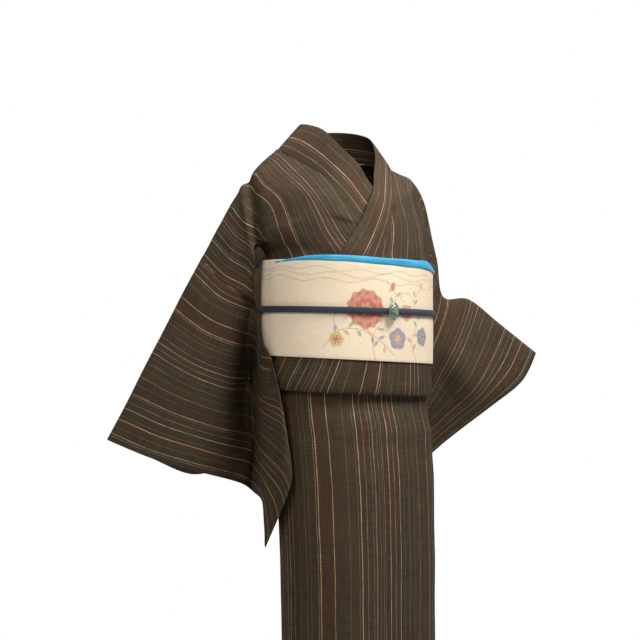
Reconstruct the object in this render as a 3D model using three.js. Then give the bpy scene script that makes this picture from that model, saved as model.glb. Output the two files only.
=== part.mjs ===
// Tsumugi kimono as it hangs on the wearer, with its own sash set.
// Millimetres. +X is the wearer's left, -Y the front, +Z up.
// The origin is at the base of the neck, level with the top of the shoulders.
import * as THREE from "three";

// Driving sizes
const CLOTH = 1.2;                 // thickness of the kimono's cloth wall
const HEM_Z = -1340;               // lower edge of the skirt
const SASH_TOP = -202;             // upper edge of the sash band, at the front
const SASH_BOTTOM = -361;          // lower edge of the sash band
const SASH_A = 155;                // half width of the sash band, side to side
const SASH_B = 130;                // half depth of the sash band, front to back
const SASH_WALL = 2.4;             // two layers of stiff sash cloth
const TILT = 9;                    // the sash sits this much lower on the wearer's left, higher on the right
const DRUM_WIDTH = 296;            // sash roll on the back, side to side
const CORD_TALL = 12;
const CORD_DEEP = 4.6;
const CORD_Z = -279;
const CLASP_WIDE = 19;
const CLASP_TALL = 30;
const CLASP_DEEP = 9;
const YAW = 33 * Math.PI / 180;    // the sleeve tables use plan axes turned by this angle

// Forms shared by several pieces: half width, half depth and centre of the body cloth by height
// columns: z, half width, half depth, centre y
const BODY_FORM = [
  [-200, 150.8, 125.8, 0], [-361, 150.8, 125.8, 0], [-370, 151.4, 126.4, 0], [-430, 151.4, 126.4, 0],
];
const SKIRT_FORM = [
  [-345, 142, 117, 0], [-400, 141.4, 116.4, 0], [-425, 141, 115.6, 0], [-480, 142.5, 116.5, -13],
  [-560, 141, 115, -24], [-700, 138.5, 113, -32], [-850, 136.5, 111, -34], [-1000, 134, 109, -34],
  [-1180, 130, 105, -34], [-1340, 126, 101, -34],
];

const DEG = Math.PI / 180;
const group = new THREE.Group();

function material(hex, roughness, metalness = 0) {
  const colour = new THREE.Color(hex);
  return new THREE.MeshStandardMaterial({ color: colour, roughness, metalness, side: THREE.DoubleSide });
}

function add(name, geometry, surface) {
  const mesh = new THREE.Mesh(geometry, surface);
  mesh.name = name;
  group.add(mesh);
}

function between(table, z) {
  // straight reading between the rows of a table sorted by falling z
  if (z >= table[0][0]) {
    return table[0].slice(1);
  }
  for (let i = 1; i < table.length; i += 1) {
    if (z >= table[i][0]) {
      const t = (table[i - 1][0] - z) / (table[i - 1][0] - table[i][0]);
      return table[i].slice(1).map((v, k) => table[i - 1][k + 1] * (1 - t) + v * t);
    }
  }
  return table[table.length - 1].slice(1);
}

function onForm(table, angle, z, inward) {
  // angle 0 is the front, +90 the wearer's left side
  const [a, b, cy] = between(table, z);
  const x = (a - inward) * Math.sin(angle * DEG);
  const y = cy - (b - inward) * Math.cos(angle * DEG);
  return [x, y, z];
}

function turned(across, away, up) {
  const c = Math.cos(YAW);
  const s = Math.sin(YAW);
  return [across * c + away * s, -across * s + away * c, up];
}

function splinePoint(points, t, closed) {
  // smooth curve through a row of points, t from 0 to 1
  const n = points.length;
  const spans = closed ? n : n - 1;
  const f = Math.min(t * spans, spans - 1e-9);
  const i = Math.floor(f);
  const u = f - i;
  const at = (k) => {
    if (closed) {
      return points[(k + n) % n];
    }
    if (k < 0) {
      return points[0].map((v, d) => 2 * v - points[1][d]);
    }
    if (k >= n) {
      return points[n - 1].map((v, d) => 2 * v - points[n - 2][d]);
    }
    return points[k];
  };
  const [p, q, r, s] = [at(i - 1), at(i), at(i + 1), at(i + 2)];
  return q.map((v, d) => {
    const m0 = (r[d] - p[d]) / 2;
    const m1 = (s[d] - q[d]) / 2;
    const h1 = 2 * u ** 3 - 3 * u ** 2 + 1;
    const h2 = u ** 3 - 2 * u ** 2 + u;
    const h3 = -2 * u ** 3 + 3 * u ** 2;
    const h4 = u ** 3 - u ** 2;
    return h1 * v + h2 * m0 + h3 * r[d] + h4 * m1;
  });
}

function smoothGrid(rows, alongSteps, acrossSteps, closed) {
  // rows of key points become a finer grid; a closed row does not repeat its first point
  const acrossCount = closed ? acrossSteps : acrossSteps + 1;
  const dense = rows.map((row) => {
    const points = [];
    for (let j = 0; j < acrossCount; j += 1) {
      points.push(splinePoint(row, j / acrossSteps, closed));
    }
    return points;
  });
  const grid = [];
  for (let i = 0; i <= alongSteps; i += 1) {
    const row = [];
    for (let j = 0; j < acrossCount; j += 1) {
      row.push(splinePoint(dense.map((r) => r[j]), i / alongSteps, false));
    }
    grid.push(row);
  }
  return grid;
}

function faces(grid, thickness, closed) {
  // the two faces of a wall of even thickness with its middle on the grid, as rows of points
  const rows = grid.length;
  const cols = grid[0].length;
  const at = (i, j) => {
    const row = grid[Math.max(0, Math.min(rows - 1, i))];
    const k = closed ? (j + cols) % cols : Math.max(0, Math.min(cols - 1, j));
    return new THREE.Vector3(...row[k]);
  };
  const outer = [];
  const inner = [];
  for (let i = 0; i < rows; i += 1) {
    outer.push([]);
    inner.push([]);
    for (let j = 0; j < cols; j += 1) {
      const along = at(i + 1, j).sub(at(i - 1, j));
      const across = at(i, j + 1).sub(at(i, j - 1));
      const normal = across.cross(along).normalize();
      outer[i].push(at(i, j).addScaledVector(normal, thickness / 2));
      inner[i].push(at(i, j).addScaledVector(normal, -thickness / 2));
    }
  }
  return [outer, inner];
}

function wall(grid, thickness, closed) {
  return shell(...faces(grid, thickness, closed), closed);
}

function shell(outer, inner, closed) {
  // closed body between two faces
  const rows = outer.length;
  const cols = outer[0].length;
  const count = rows * cols;
  const index = [];
  const quad = (a, b, c, d) => index.push(a, b, c, a, c, d);
  const spans = closed ? cols : cols - 1;
  for (let i = 0; i < rows - 1; i += 1) {
    for (let j = 0; j < spans; j += 1) {
      const k = (j + 1) % cols;
      const a = i * cols + j;
      const b = i * cols + k;
      const c = (i + 1) * cols + k;
      const d = (i + 1) * cols + j;
      quad(a, b, c, d);
      quad(count + a, count + d, count + c, count + b);
    }
  }
  for (let j = 0; j < spans; j += 1) {
    const k = (j + 1) % cols;
    const last = (rows - 1) * cols;
    quad(j, count + j, count + k, k);
    quad(last + j, last + k, count + last + k, count + last + j);
  }
  if (!closed) {
    for (let i = 0; i < rows - 1; i += 1) {
      const a = i * cols;
      const b = (i + 1) * cols;
      quad(a, b, count + b, count + a);
      quad(a + cols - 1, count + a + cols - 1, count + b + cols - 1, b + cols - 1);
    }
  }
  return bodyFrom([...outer.flat(), ...inner.flat()], index);
}

function bodyFrom(points, index) {
  const geometry = new THREE.BufferGeometry();
  const flat = points.flatMap((p) => [p.x, p.y, p.z]);
  geometry.setAttribute("position", new THREE.Float32BufferAttribute(flat, 3));
  let volume = 0;
  for (let i = 0; i < index.length; i += 3) {
    const [a, b, c] = [points[index[i]], points[index[i + 1]], points[index[i + 2]]];
    volume += a.dot(b.clone().cross(c)) / 6;
  }
  if (volume < 0) {
    for (let i = 0; i < index.length; i += 3) {
      const kept = index[i];
      index[i] = index[i + 1];
      index[i + 1] = kept;
    }
  }
  geometry.setIndex(index);
  geometry.computeVertexNormals();
  return geometry;
}

function roll(path, sizes, outward, steps, sides) {
  // closed loop of flattened oval section; sizes hold the height and the thickness at each path point
  const points = [];
  for (let i = 0; i < steps; i += 1) {
    const t = i / steps;
    const centre = new THREE.Vector3(...splinePoint(path, t, true));
    const [tall, deep] = splinePoint(sizes, t, true);
    const ahead = new THREE.Vector3(...splinePoint(path, (t + 0.001) % 1, true));
    const forward = ahead.sub(centre).normalize();
    const out = new THREE.Vector3(...splinePoint(outward, t, true));
    out.addScaledVector(forward, -out.dot(forward)).normalize();
    const up = out.clone().cross(forward);
    for (let j = 0; j < sides; j += 1) {
      const a = 2 * Math.PI * (j + 0.5) / sides;
      const p = centre.clone();
      p.addScaledVector(up, Math.cos(a) * tall / 2);
      p.addScaledVector(out, Math.sin(a) * deep / 2);
      points.push(p);
    }
  }
  const index = [];
  for (let i = 0; i < steps; i += 1) {
    for (let j = 0; j < sides; j += 1) {
      const k = (j + 1) % sides;
      const n = (i + 1) % steps;
      index.push(i * sides + j, i * sides + k, n * sides + k);
      index.push(i * sides + j, n * sides + k, n * sides + j);
    }
  }
  return bodyFrom(points, index);
}

// Body panels from under the sash, over the shoulder and down the back to under the sash. Each row
// runs from the collar or centre-back edge out to the sleeve or side edge.
// columns: x, y, z of five points
const RIGHT_CHEST = [
  [[30, -106, -190], [-30, -106, -184], [-95, -86, -180], [-137, -22, -180], [-142, 36, -182]],
  [[15, -103.5, -177], [-41, -100, -166], [-102, -78, -162], [-152, -8, -166], [-157, 40, -168]],
  [[-1, -101, -164], [-50, -96, -151], [-107, -72, -147], [-166, 3, -166], [-168.5, 42, -206]],
  [[-19, -97, -147], [-62, -89, -134], [-114, -62, -128], [-174, 6, -162], [-163, 42.5, -255]],
  [[-38, -92, -126], [-75, -84, -118], [-120, -50, -112], [-176, 9, -156], [-188, 37, -247]],
  [[-62, -75, -88], [-94, -60, -84], [-134, -25, -84], [-188, 20, -132], [-218, 48.5, -231]],
  [[-85, -36, -45], [-113, -18, -50], [-144, 6, -63], [-193, 36, -114], [-231, 68, -212]],
  [[-112, 35, -6], [-133, 37, -25], [-160, 40, -47], [-199, 53, -106], [-241, 85, -194.5]],
  [[-103, 66, -3], [-126, 72, -22], [-150, 76, -50], [-193, 82, -113], [-229, 93, -209]],
  [[-70, 100, -8], [-99, 104, -34], [-137, 104, -66], [-183, 103, -138], [-212, 97, -226]],
  [[-0.4, 125.5, -11], [-50, 122, -50], [-110, 116, -90], [-163, 110, -160], [-192, 96, -238]],
  [[-0.4, 128, -60], [-55, 126, -90], [-105, 118, -128], [-152, 104, -172], [-170, 82, -258]],
  [[-0.4, 128, -95], [-57, 125, -118], [-106, 113, -146], [-150, 90, -170], [-171, 64, -206]],
  [[-0.4, 128, -125], [-60, 122, -142], [-108, 100, -160], [-142, 72, -170], [-157, 50, -168]],
  [[-0.4, 127, -152], [-63, 115, -166], [-109, 86, -178], [-131, 60, -182], [-142, 38.5, -182]],
];
const LEFT_CHEST = [
  [[-10, -112, -185], [45, -114, -180], [99, -86, -178], [137, -22, -190], [142, 36, -196]],
  [[2, -108, -163], [49, -107, -160], [102, -77, -160], [152, -8, -176], [157, 40, -182]],
  [[14, -103, -141], [55, -98, -137], [106, -66, -140], [166, 3, -172], [169, 42, -226]],
  [[21, -98.5, -127], [60, -90, -120], [109, -56, -122], [172, 7, -158], [176, 42, -276]],
  [[28, -93, -114], [66, -80, -104], [112, -45, -105], [176, 13, -142], [193, 43, -253]],
  [[40, -82, -88], [78, -60, -76], [122, -22, -72], [184, 26, -112], [216, 52, -223]],
  [[70, -36, -54], [98, -22, -50], [138, 5, -50], [194, 42, -88], [233, 64, -204]],
  [[105, 20, -29], [128, 28, -32], [160, 37, -42], [203, 56, -82], [248, 76, -181.5]],
  [[102, 56, -17], [128, 68, -25], [160, 72, -46], [203, 84, -95], [243, 77, -206]],
  [[69, 101, -10], [100, 103, -33], [140, 104, -58], [188, 104, -128], [234.5, 76.6, -227]],
  [[0.4, 125.5, -11], [50, 122, -50], [110, 116, -90], [165, 110, -160], [220.5, 81, -258]],
  [[0.4, 128, -60], [55, 126, -90], [105, 118, -128], [156, 104, -176], [200, 86, -272]],
  [[0.4, 128, -95], [57, 125, -118], [106, 113, -146], [152, 90, -176], [172, 64, -226]],
  [[0.4, 128, -125], [60, 122, -142], [108, 100, -160], [142, 72, -178], [157, 50, -184]],
  [[0.4, 127, -152], [63, 115, -168], [109, 86, -184], [131, 60, -192], [142, 38.5, -196]],
];
const PANEL_END = -244;            // the panels end under the sash, where the waist fold pieces begin
const PANEL_STEPS = 8;             // spans across a panel
const PANEL_ROWS = 40;             // spans along a panel, front to back
const TUCK = 4.6;                  // the right front lies this much inside the left front
const FRONT_EDGE = [[-215, 9], [PANEL_END, 17]];
const FOLD_FRONT = 84;             // the fold's front edge, in degrees past the front centre
const SEAM_STEP = 2.4;             // a panel's edge stops this far short of the next piece

function lean(angle, z) {
  return TILT * Math.sin(angle * DEG) * Math.min(1, Math.max(0, (PANEL_END - z) / 60));
}

function tucked(sign, angle) {
  // how far in a place of the right front lies: fully in where the left front covers it
  return sign > 0 ? 0 : TUCK * Math.min(1, Math.max(0, (105 - angle) / 17));
}

function formRow(sign, z, back) {
  const row = [];
  for (let k = 0; k <= PANEL_STEPS; k += 1) {
    const edge = back ? 179.84 : -between(FRONT_EDGE, z)[0];
    const side = back ? 107.15 : 106.85;
    const angle = edge + (side - edge) * k / PANEL_STEPS;
    const under = back ? 0 : 1.3 * tucked(sign, angle);
    row.push(onForm(BODY_FORM, sign * angle, z, under));
  }
  return row;
}

function moveTowards(a, b, step) {
  const length = Math.hypot(b[0] - a[0], b[1] - a[1], b[2] - a[2]);
  return a.map((v, d) => v + (b[d] - v) * step / length);
}

function chestRow(row) {
  const points = [];
  for (let k = 0; k <= PANEL_STEPS; k += 1) {
    points.push(splinePoint(row, k / PANEL_STEPS, false));
  }
  const last = points.length - 1;
  const first = Math.abs(row[0][0]) < 1 ? points[0] : moveTowards(points[0], points[1], SEAM_STEP);
  return [first, ...points.slice(1, last), moveTowards(points[last], points[last - 1], 1.3)];
}

function bodyPanel(chest, sign) {
  const front = [formRow(sign, PANEL_END, false), formRow(sign, -214, false)];
  const back = [formRow(sign, -214, true), formRow(sign, PANEL_END, true)];
  const rows = [...front, ...chest.map(chestRow), ...back];
  const grid = smoothGrid(rows, PANEL_ROWS, PANEL_STEPS, false);
  // the centre-back edge keeps to its own side of the middle
  for (const row of grid) {
    if (row[0][1] > 60) {
      row[0][0] = sign * Math.max(0.4, sign * row[0][0]);
    }
  }
  return grid;
}

// Waist fold: the cloth comes down outside, turns at the bottom and goes up inside
// columns: z, distance inside the body form
const FOLD = [
  [PANEL_END - 1.4, 0], [-300, 0], [-355, 0], [-395, 0], [-413, 0], [-415.8, 0.4], [-416.7, 1.2],
  [-415.8, 2], [-413, 2.4], [-352, 2.4],
];
const FOLD_STEPS = 30;

function waistFold(sign) {
  return FOLD.map(([z, inside]) => {
    const row = [];
    for (let k = 0; k <= FOLD_STEPS; k += 1) {
      const angle = -FOLD_FRONT + (179.84 + FOLD_FRONT) * k / FOLD_STEPS;
      const drop = lean(sign * angle, z);
      row.push(onForm(BODY_FORM, sign * angle, z - drop, inside + tucked(sign, angle)));
    }
    return row;
  });
}

const brown = material("#3f3226", 0.85);
const brownUnder = material("#3b2f25", 0.85);
add("body_right_upper", wall(bodyPanel(RIGHT_CHEST, -1), CLOTH, false), brown);
add("body_left_upper", wall(bodyPanel(LEFT_CHEST, 1), CLOTH, false), brown.clone());
add("waist_fold_right", wall(waistFold(-1), CLOTH, false), brown.clone());
add("waist_fold_left", wall(waistFold(1), CLOTH, false), brown.clone());

// Skirt panels: each hangs between two angles of the skirt form
// columns: name, first angle, last angle, depth under the top layer
const HALF_GAP = 0.12;
const UNDER = 2;
const SKIRT = [
  ["back_right_skirt", -180 + HALF_GAP, -100 - HALF_GAP, 0],
  ["front_right_skirt", -100 + HALF_GAP, 8.5 - HALF_GAP, UNDER],
  ["overlap_right", 8.5 + HALF_GAP, 84, UNDER],
  ["back_left_skirt", 100 + HALF_GAP, 180 - HALF_GAP, 0],
  ["front_left_skirt", -8.5 + HALF_GAP, 100 - HALF_GAP, 0],
  ["overlap_left", -87, -8.5 - HALF_GAP, 0],
];
const SKIRT_LEVELS = [-350, -362, -378, -425, -443, -462, -481, -520, -600, -700, -850, -1000, -1170, HEM_Z];

function drag(angle, z) {
  // soft level creases below the waist fold
  const depth = 1.8 * Math.exp(-(((z + 462) / 50) ** 2));
  return depth * Math.sin((z + angle * 0.35) / 12) * Math.sin((angle + 100) * 0.9 * DEG);
}

function flare(angle, z) {
  // under the sash the skirt comes out to meet the turned-up layer
  const reach = Math.min(1, Math.max(0, (z + 378) / 16));
  const far = Math.min(1, Math.max(0, (Math.abs(angle) - 106) / 14));
  return reach * 4.2 * far;
}

for (const [name, first, last, depth] of SKIRT) {
  const steps = Math.max(6, Math.round(Math.abs(last - first) / 10));
  const grid = SKIRT_LEVELS.map((z) => {
    const row = [];
    for (let k = 0; k <= steps; k += 1) {
      const t = k / steps;
      const angle = first + (last - first) * t;
      const under = depth * (name === "front_right_skirt" ? Math.min(1, t * 10) : 1);
      const inward = under + drag(angle, z) - flare(angle, z);
      const drop = z > -400 ? lean(angle, z) : 0;
      row.push(onForm(SKIRT_FORM, angle, z - drop, inward));
    }
    return row;
  });
  add(name, wall(grid, CLOTH, false), name.startsWith("overlap") ? brownUnder.clone() : brown.clone());
}

// Collar strip. Columns: inner (neck) edge x, y, z, then seam edge x, y, z
const COLLAR = [
  [[100, -84, -206], [66, -100, -236]],
  [[84, -82, -172], [45, -99, -208]], [[62, -84, -136], [30, -102, -190]],
  [[32, -79, -98], [0, -101, -165]], [[0, -68, -63], [-38, -92, -126]],
  [[-25, -67, -30], [-62, -75, -88]], [[-48, -53, -4], [-85, -36, -45]],
  [[-60, -20, 26], [-101, 0, -23]], [[-61, 22, 40], [-112, 35, -6]],
  [[-60, 56, 46], [-103, 66, -3]], [[-43, 88, 46], [-70, 100, -6]],
  [[0, 110, 43], [0, 123.6, -6.8]], [[43, 88, 43], [69, 101, -8]],
  [[61, 54, 36], [102, 56, -17]], [[56, 12, 21], [105, 20, -29]],
  [[45, -17, -7], [70, -36, -54]], [[22, -47, -45], [40, -82, -88]],
  [[2, -75, -72], [28, -93, -114]], [[-18, -92, -95], [14, -103, -141]],
  [[-40, -102, -128], [-10, -112, -185]], [[-74, -106, -170], [-28, -121.5, -214]],
  [[-98, -94.6, -208], [-44, -119.5, -240]],
];
const COLLAR_WALL = 2.4;
const collarRows = COLLAR.map(([inner, seam]) => {
  const middle = inner.map((v, d) => (v + seam[d]) / 2);
  return [inner, middle, seam];
});
const collar = smoothGrid(collarRows, 42, 3, false);
add("collar", wall(collar, COLLAR_WALL, false), material("#44362a", 0.82));

// Sleeves. Each row goes once round the sleeve: from the fold on top down the front layer to the
// bottom fold (nine points), then up the back layer (seven points)
// columns: across, away, up for each point
const RIGHT_SLEEVE = [
  [ // seam edge
    [-249, -60, -196], [-210, -78, -233], [-179, -72, -250], [-160, -52, -259],
    [-153, -62, -280], [-152, -66, -318], [-152, -51, -357], [-152, -22, -399],
    [-150, 0, -440], [-164, 24, -441], [-176, 0, -396], [-184, -22, -348],
    [-188, -26, -302], [-188, -24, -267], [-200, -16, -248], [-231, -34, -228],
  ],
  [ // 60 mm out
    [-277, -62, -248], [-227, -78, -273], [-184, -66, -296], [-162, -50, -306],
    [-153, -50, -318], [-143, -84, -330], [-132, -94, -351], [-133, -90, -401],
    [-138, -60, -469], [-151, -8, -465], [-160, 26, -429], [-169, 26, -384],
    [-177, 14, -345], [-185, -14, -317], [-213, -4, -303], [-247, -32, -279],
  ],
  [ // 120 mm out
    [-304, -62, -301], [-247, -76, -326], [-196, -60, -347], [-168, -10, -360],
    [-158, -4, -365], [-143, -76, -366], [-118, -112, -391], [-111, -116, -437],
    [-115, -100, -499], [-137, -66, -507], [-156, 14, -494], [-166, 38, -461],
    [-177, 40, -421], [-191, 22, -387], [-226, 2, -365], [-265, -32, -337],
  ],
  [ // 200 mm out
    [-341, -62, -372], [-277, -76, -396], [-218, -62, -421], [-176, 0, -441],
    [-161, 6, -449], [-143, -76, -450], [-108, -124, -489], [-94, -128, -521],
    [-95, -124, -541], [-118, -94, -550], [-144, -12, -545], [-159, 34, -524],
    [-174, 46, -492], [-200, 40, -465], [-245, 4, -442], [-298, -30, -412],
  ],
  [ // 270 mm out
    [-372, -62, -434], [-304, -74, -458], [-237, -62, -481], [-176, 0, -509],
    [-162, 22, -519], [-143, -80, -518], [-120, -112, -546], [-106, -124, -564],
    [-98, -128, -576], [-118, -94, -590], [-140, 0, -593], [-157, 48, -578],
    [-180, 54, -544], [-214, 36, -517], [-263, 4, -497], [-322, -30, -468],
  ],
  [ // cuff edge
    [-404, -62, -494], [-331, -72, -523], [-257, -62, -546], [-186, -5, -573],
    [-164, 24, -593], [-144, -72, -594], [-140, -84, -622], [-138, -90, -648],
    [-137, -92, -669], [-132, -67, -651], [-132, 22, -634], [-149, 60, -613],
    [-173, 60, -587], [-213, 32, -557], [-272, -4, -558], [-336, -34, -527],
  ],
];
const LEFT_SLEEVE = [
  [ // seam edge
    [167, 200, -184], [153, 162, -225], [139, 142, -256], [124, 132, -286],
    [109, 130, -333], [95, 130, -384], [77, 132, -448], [62, 140, -498],
    [50, 146, -546], [64, 170, -501], [79, 178, -452], [97, 185, -388],
    [111, 188, -337], [126, 187, -290], [141, 188, -260], [155, 192, -228],
  ],
  [ // 90 mm out
    [178, 196, -250], [166, 165, -278], [154, 150, -326], [141, 146, -370],
    [127, 146, -418], [110, 146, -465], [92, 149, -513], [74, 157, -566],
    [55, 165, -615], [75, 187, -569], [94, 195, -517], [112, 201, -469],
    [129, 204, -422], [143, 201, -374], [156, 196, -330], [168, 195, -281],
  ],
  [ // 170 mm out
    [227, 205, -255], [206, 180, -304], [186, 158, -352], [166, 160, -400],
    [142, 160, -444], [114, 158, -492], [87, 156, -536], [59, 158, -584],
    [33, 163, -633], [60, 188, -587], [89, 202, -540], [116, 213, -496],
    [144, 218, -448], [168, 215, -404], [188, 204, -356], [208, 210, -307],
  ],
  [ // 250 mm out
    [285, 203, -301], [259, 184, -353], [229, 162, -411], [193, 170, -449],
    [156, 172, -482], [115, 170, -526], [81, 162, -570], [48, 159, -617],
    [18, 158, -662], [49, 189, -620], [83, 208, -574], [117, 225, -530],
    [158, 230, -486], [195, 225, -453], [231, 208, -415], [260, 214, -356],
  ],
  [ // cuff edge
    [352, 200, -355], [325, 192, -407], [265, 188, -455], [205, 184, -500],
    [164, 180, -533], [119, 174, -575], [80, 170, -615], [44, 166, -659],
    [7, 162, -703], [46, 196, -662], [82, 216, -619], [121, 229, -579],
    [166, 238, -537], [207, 239, -504], [267, 234, -459], [327, 222, -410],
  ],
];

// The top fold and the bottom fold part each sleeve into a front and a back layer
const FOLD_GAP = 0.3;

function layer(face, first, last) {
  return face.map((row) => {
    const points = [];
    for (let j = first; j <= last; j += 1) {
      points.push(row[j % row.length].clone());
    }
    for (const [edge, next] of [[points[0], points[1]], [points[last - first], points[last - first - 1]]]) {
      edge.addScaledVector(next.clone().sub(edge).normalize(), FOLD_GAP / 2);
    }
    return points;
  });
}

function addSleeve(name, table, alongSteps, roundSteps) {
  const rows = table.map((row) => row.map(([across, away, up]) => turned(across, away, up)));
  const both = faces(smoothGrid(rows, alongSteps, roundSteps, true), CLOTH, true);
  const half = roundSteps / 2;
  for (const [part, first, last] of [["front", 0, half], ["back", half, roundSteps]]) {
    const [outer, inner] = both.map((face) => layer(face, first, last));
    add(name + "_" + part, shell(outer, inner, false), brown.clone());
  }
}

addSleeve("sleeve_right", RIGHT_SLEEVE, 11, 46);
addSleeve("sleeve_left", LEFT_SLEEVE, 9, 38);

// Sash band round the body
const sashCloth = material("#dcc8ab", 0.7);
const bandGrid = [];
const bandHeights = [SASH_TOP, (SASH_TOP + SASH_BOTTOM) / 2, SASH_BOTTOM];
for (const z of bandHeights) {
  const row = [];
  for (let k = 0; k < 48; k += 1) {
    const angle = k * 7.5;
    const x = (SASH_A - SASH_WALL / 2) * Math.sin(angle * DEG);
    const y = -(SASH_B - SASH_WALL / 2) * Math.cos(angle * DEG);
    row.push([x, y, z - TILT * Math.sin(angle * DEG)]);
  }
  bandGrid.push(row);
}
add("sash_band", wall(bandGrid, SASH_WALL, true), sashCloth);

// Sash roll on the back: side profile y, z from the inner layer, round the bottom, up the outside
// and over the top
const DRUM_PROFILE = [
  [154.4, -300], [153.2, -345], [154.4, -384], [162, -401], [178, -407], [196, -402], [208, -385],
  [213, -340], [214, -280], [213, -225], [209, -170], [197, -140], [178, -127], [158, -128],
  [144, -140], [137, -165], [134.5, -195],
];
function acrossBack(profile, width, bow) {
  return profile.map(([y, z]) => {
    const row = [];
    for (let k = 0; k <= 8; k += 1) {
      const t = k / 4 - 1;
      row.push([t * width / 2, y - bow * t * t, z]);
    }
    return row;
  });
}
add("sash_drum", wall(acrossBack(DRUM_PROFILE, DRUM_WIDTH, 0), SASH_WALL, false), sashCloth.clone());

// The tail hangs from inside the roll to below it
const TAIL_PROFILE = [[151.4, -301], [150.2, -345], [151, -384], [151, -410], [150, -484]];
add("sash_tail", wall(acrossBack(TAIL_PROFILE, DRUM_WIDTH - 12, 0), SASH_WALL, false), sashCloth.clone());

// The hand end lies level through the roll and shows a little at both sides
const HAND_PROFILE = [[147, -230], [147, -280], [147, -330], [147, -376]];
add("sash_hand_end", wall(acrossBack(HAND_PROFILE, 320, 0), SASH_WALL, false), sashCloth.clone());

// Scarf: a soft roll along the top edge of the sash in front, lying outside it at the sides, and
// wrapped round the pad inside the top of the roll on the back
// columns: centre x, y, z, height, thickness, outward x, y, z
const SCARF = [];
// columns: angle, distance outside the sash form, height above the sash edge, height, thickness
const SCARF_FRONT = [
  [-100, 2.9, -7, 8, 3.2], [-86, 3, -6.5, 8, 3.4], [-74, 4, 1, 7, 4.6], [-62, 0, 4.6, 7, 5.4],
  [-45, -0.4, 4.8, 7.5, 5.6], [-25, -0.5, 5.4, 8.5, 6], [0, -0.5, 6, 10, 6], [25, -0.5, 6.6, 11, 6],
  [45, -0.4, 7.2, 12, 6], [62, 0, 7.4, 12, 6], [74, 4.4, 4, 11, 5], [86, 3.1, -6, 9, 3.6],
  [100, 2.9, -7, 8, 3.2],
];
for (const [angle, out, lift, tall, deep] of SCARF_FRONT) {
  const [s, c] = [Math.sin(angle * DEG), Math.cos(angle * DEG)];
  SCARF.push([(SASH_A + out) * s, -(SASH_B + out) * c, SASH_TOP - TILT * s + lift, tall, deep, s, -c, 0]);
}
SCARF.push([149, 64, -214, 9, 4, 1, 0.2, 0], [149, 95, -204, 12, 5, 1, 0.1, 0.1]);
SCARF.push([155, 122, -184, 16, 6, 1, 0, 0.3], [157, 145, -164, 22, 7, 0.9, 0.2, 0.4]);
SCARF.push([140, 166, -154, 28, 14, 0.3, 0.6, 0.7], [100, 172, -150, 34, 24, 0, 0.6, 0.7]);
SCARF.push([0, 173, -149, 38, 28, 0, 0.6, 0.7], [-100, 172, -150, 34, 24, 0, 0.6, 0.7]);
SCARF.push([-140, 166, -154, 28, 14, -0.3, 0.6, 0.7], [-157, 145, -164, 22, 7, -0.9, 0.2, 0.4]);
SCARF.push([-155, 122, -182, 16, 6, -1, 0, 0.3], [-149, 95, -196, 12, 5, -1, 0.1, 0.1]);
SCARF.push([-149, 64, -202, 9, 4, -1, 0.2, 0]);
const scarf = roll(SCARF.map((r) => r.slice(0, 3)), SCARF.map((r) => r.slice(3, 5)),
  SCARF.map((r) => r.slice(5, 8)), 60, 7);
add("scarf", scarf, material("#3f9fb5", 0.6));

// Flat cord round the sash and through the roll
// columns: centre x, y, z, outward x, y, z
const CORD_OUT = 2.9;
const CORD = [];
for (let angle = -120; angle <= 120; angle += 15) {
  const [s, c] = [Math.sin(angle * DEG), Math.cos(angle * DEG)];
  const out = CORD_OUT + Math.max(0, Math.abs(angle) - 100) * 0.25;
  CORD.push([(SASH_A + out) * s, -(SASH_B + out) * c, CORD_Z - 4 * s, s, -c, 0]);
}
CORD.push([145, 92, -283, 1, 0, 0], [161, 122, -283, 1, 0, 0]);
CORD.push([168, 144, -283, 0.9, 0.4, 0], [162, 151, -283, 0.4, 0.9, 0], [145, 151.4, -283, 0, 1, 0]);
CORD.push([70, 151.4, -283, 0, 1, 0], [0, 151.4, -282.5, 0, 1, 0], [-70, 151.4, -282, 0, 1, 0]);
CORD.push([-145, 151.4, -282, 0, 1, 0], [-162, 151, -281, -0.4, 0.9, 0], [-168, 144, -280, -0.9, 0.4, 0]);
CORD.push([-161, 122, -279, -1, 0, 0], [-145, 92, -277, -1, 0, 0]);
const cord = roll(CORD.map((r) => r.slice(0, 3)), CORD.map(() => [CORD_TALL, CORD_DEEP]),
  CORD.map((r) => r.slice(3, 6)), 80, 6);
add("cord", cord, material("#27304f", 0.75));

// Clasp threaded on the cord at the front: a domed oval plate
const claspPoints = [];
const claspRows = [[1, 0], [1, 0.35], [0.86, 0.7], [0.5, 0.93]];
const CLASP_SIDES = 24;
for (const [size, lift] of claspRows) {
  for (let k = 0; k < CLASP_SIDES; k += 1) {
    const a = 2 * Math.PI * k / CLASP_SIDES;
    const x = size * CLASP_WIDE / 2 * Math.cos(a);
    const z = CORD_Z + size * CLASP_TALL / 2 * Math.sin(a);
    claspPoints.push(new THREE.Vector3(x, -(SASH_B + 5.8 + lift * CLASP_DEEP), z));
  }
}
const claspIndex = [];
for (let i = 0; i < claspRows.length - 1; i += 1) {
  for (let k = 0; k < CLASP_SIDES; k += 1) {
    const [a, b] = [i * CLASP_SIDES + k, i * CLASP_SIDES + (k + 1) % CLASP_SIDES];
    claspIndex.push(a, b, b + CLASP_SIDES, a, b + CLASP_SIDES, a + CLASP_SIDES);
  }
}
const backCentre = claspPoints.length;
claspPoints.push(new THREE.Vector3(0, -(SASH_B + 5.8), CORD_Z));
claspPoints.push(new THREE.Vector3(0, -(SASH_B + 5.8 + CLASP_DEEP), CORD_Z));
const lastRow = (claspRows.length - 1) * CLASP_SIDES;
for (let k = 0; k < CLASP_SIDES; k += 1) {
  const next = (k + 1) % CLASP_SIDES;
  claspIndex.push(backCentre, next, k);
  claspIndex.push(backCentre + 1, lastRow + k, lastRow + next);
}
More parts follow.
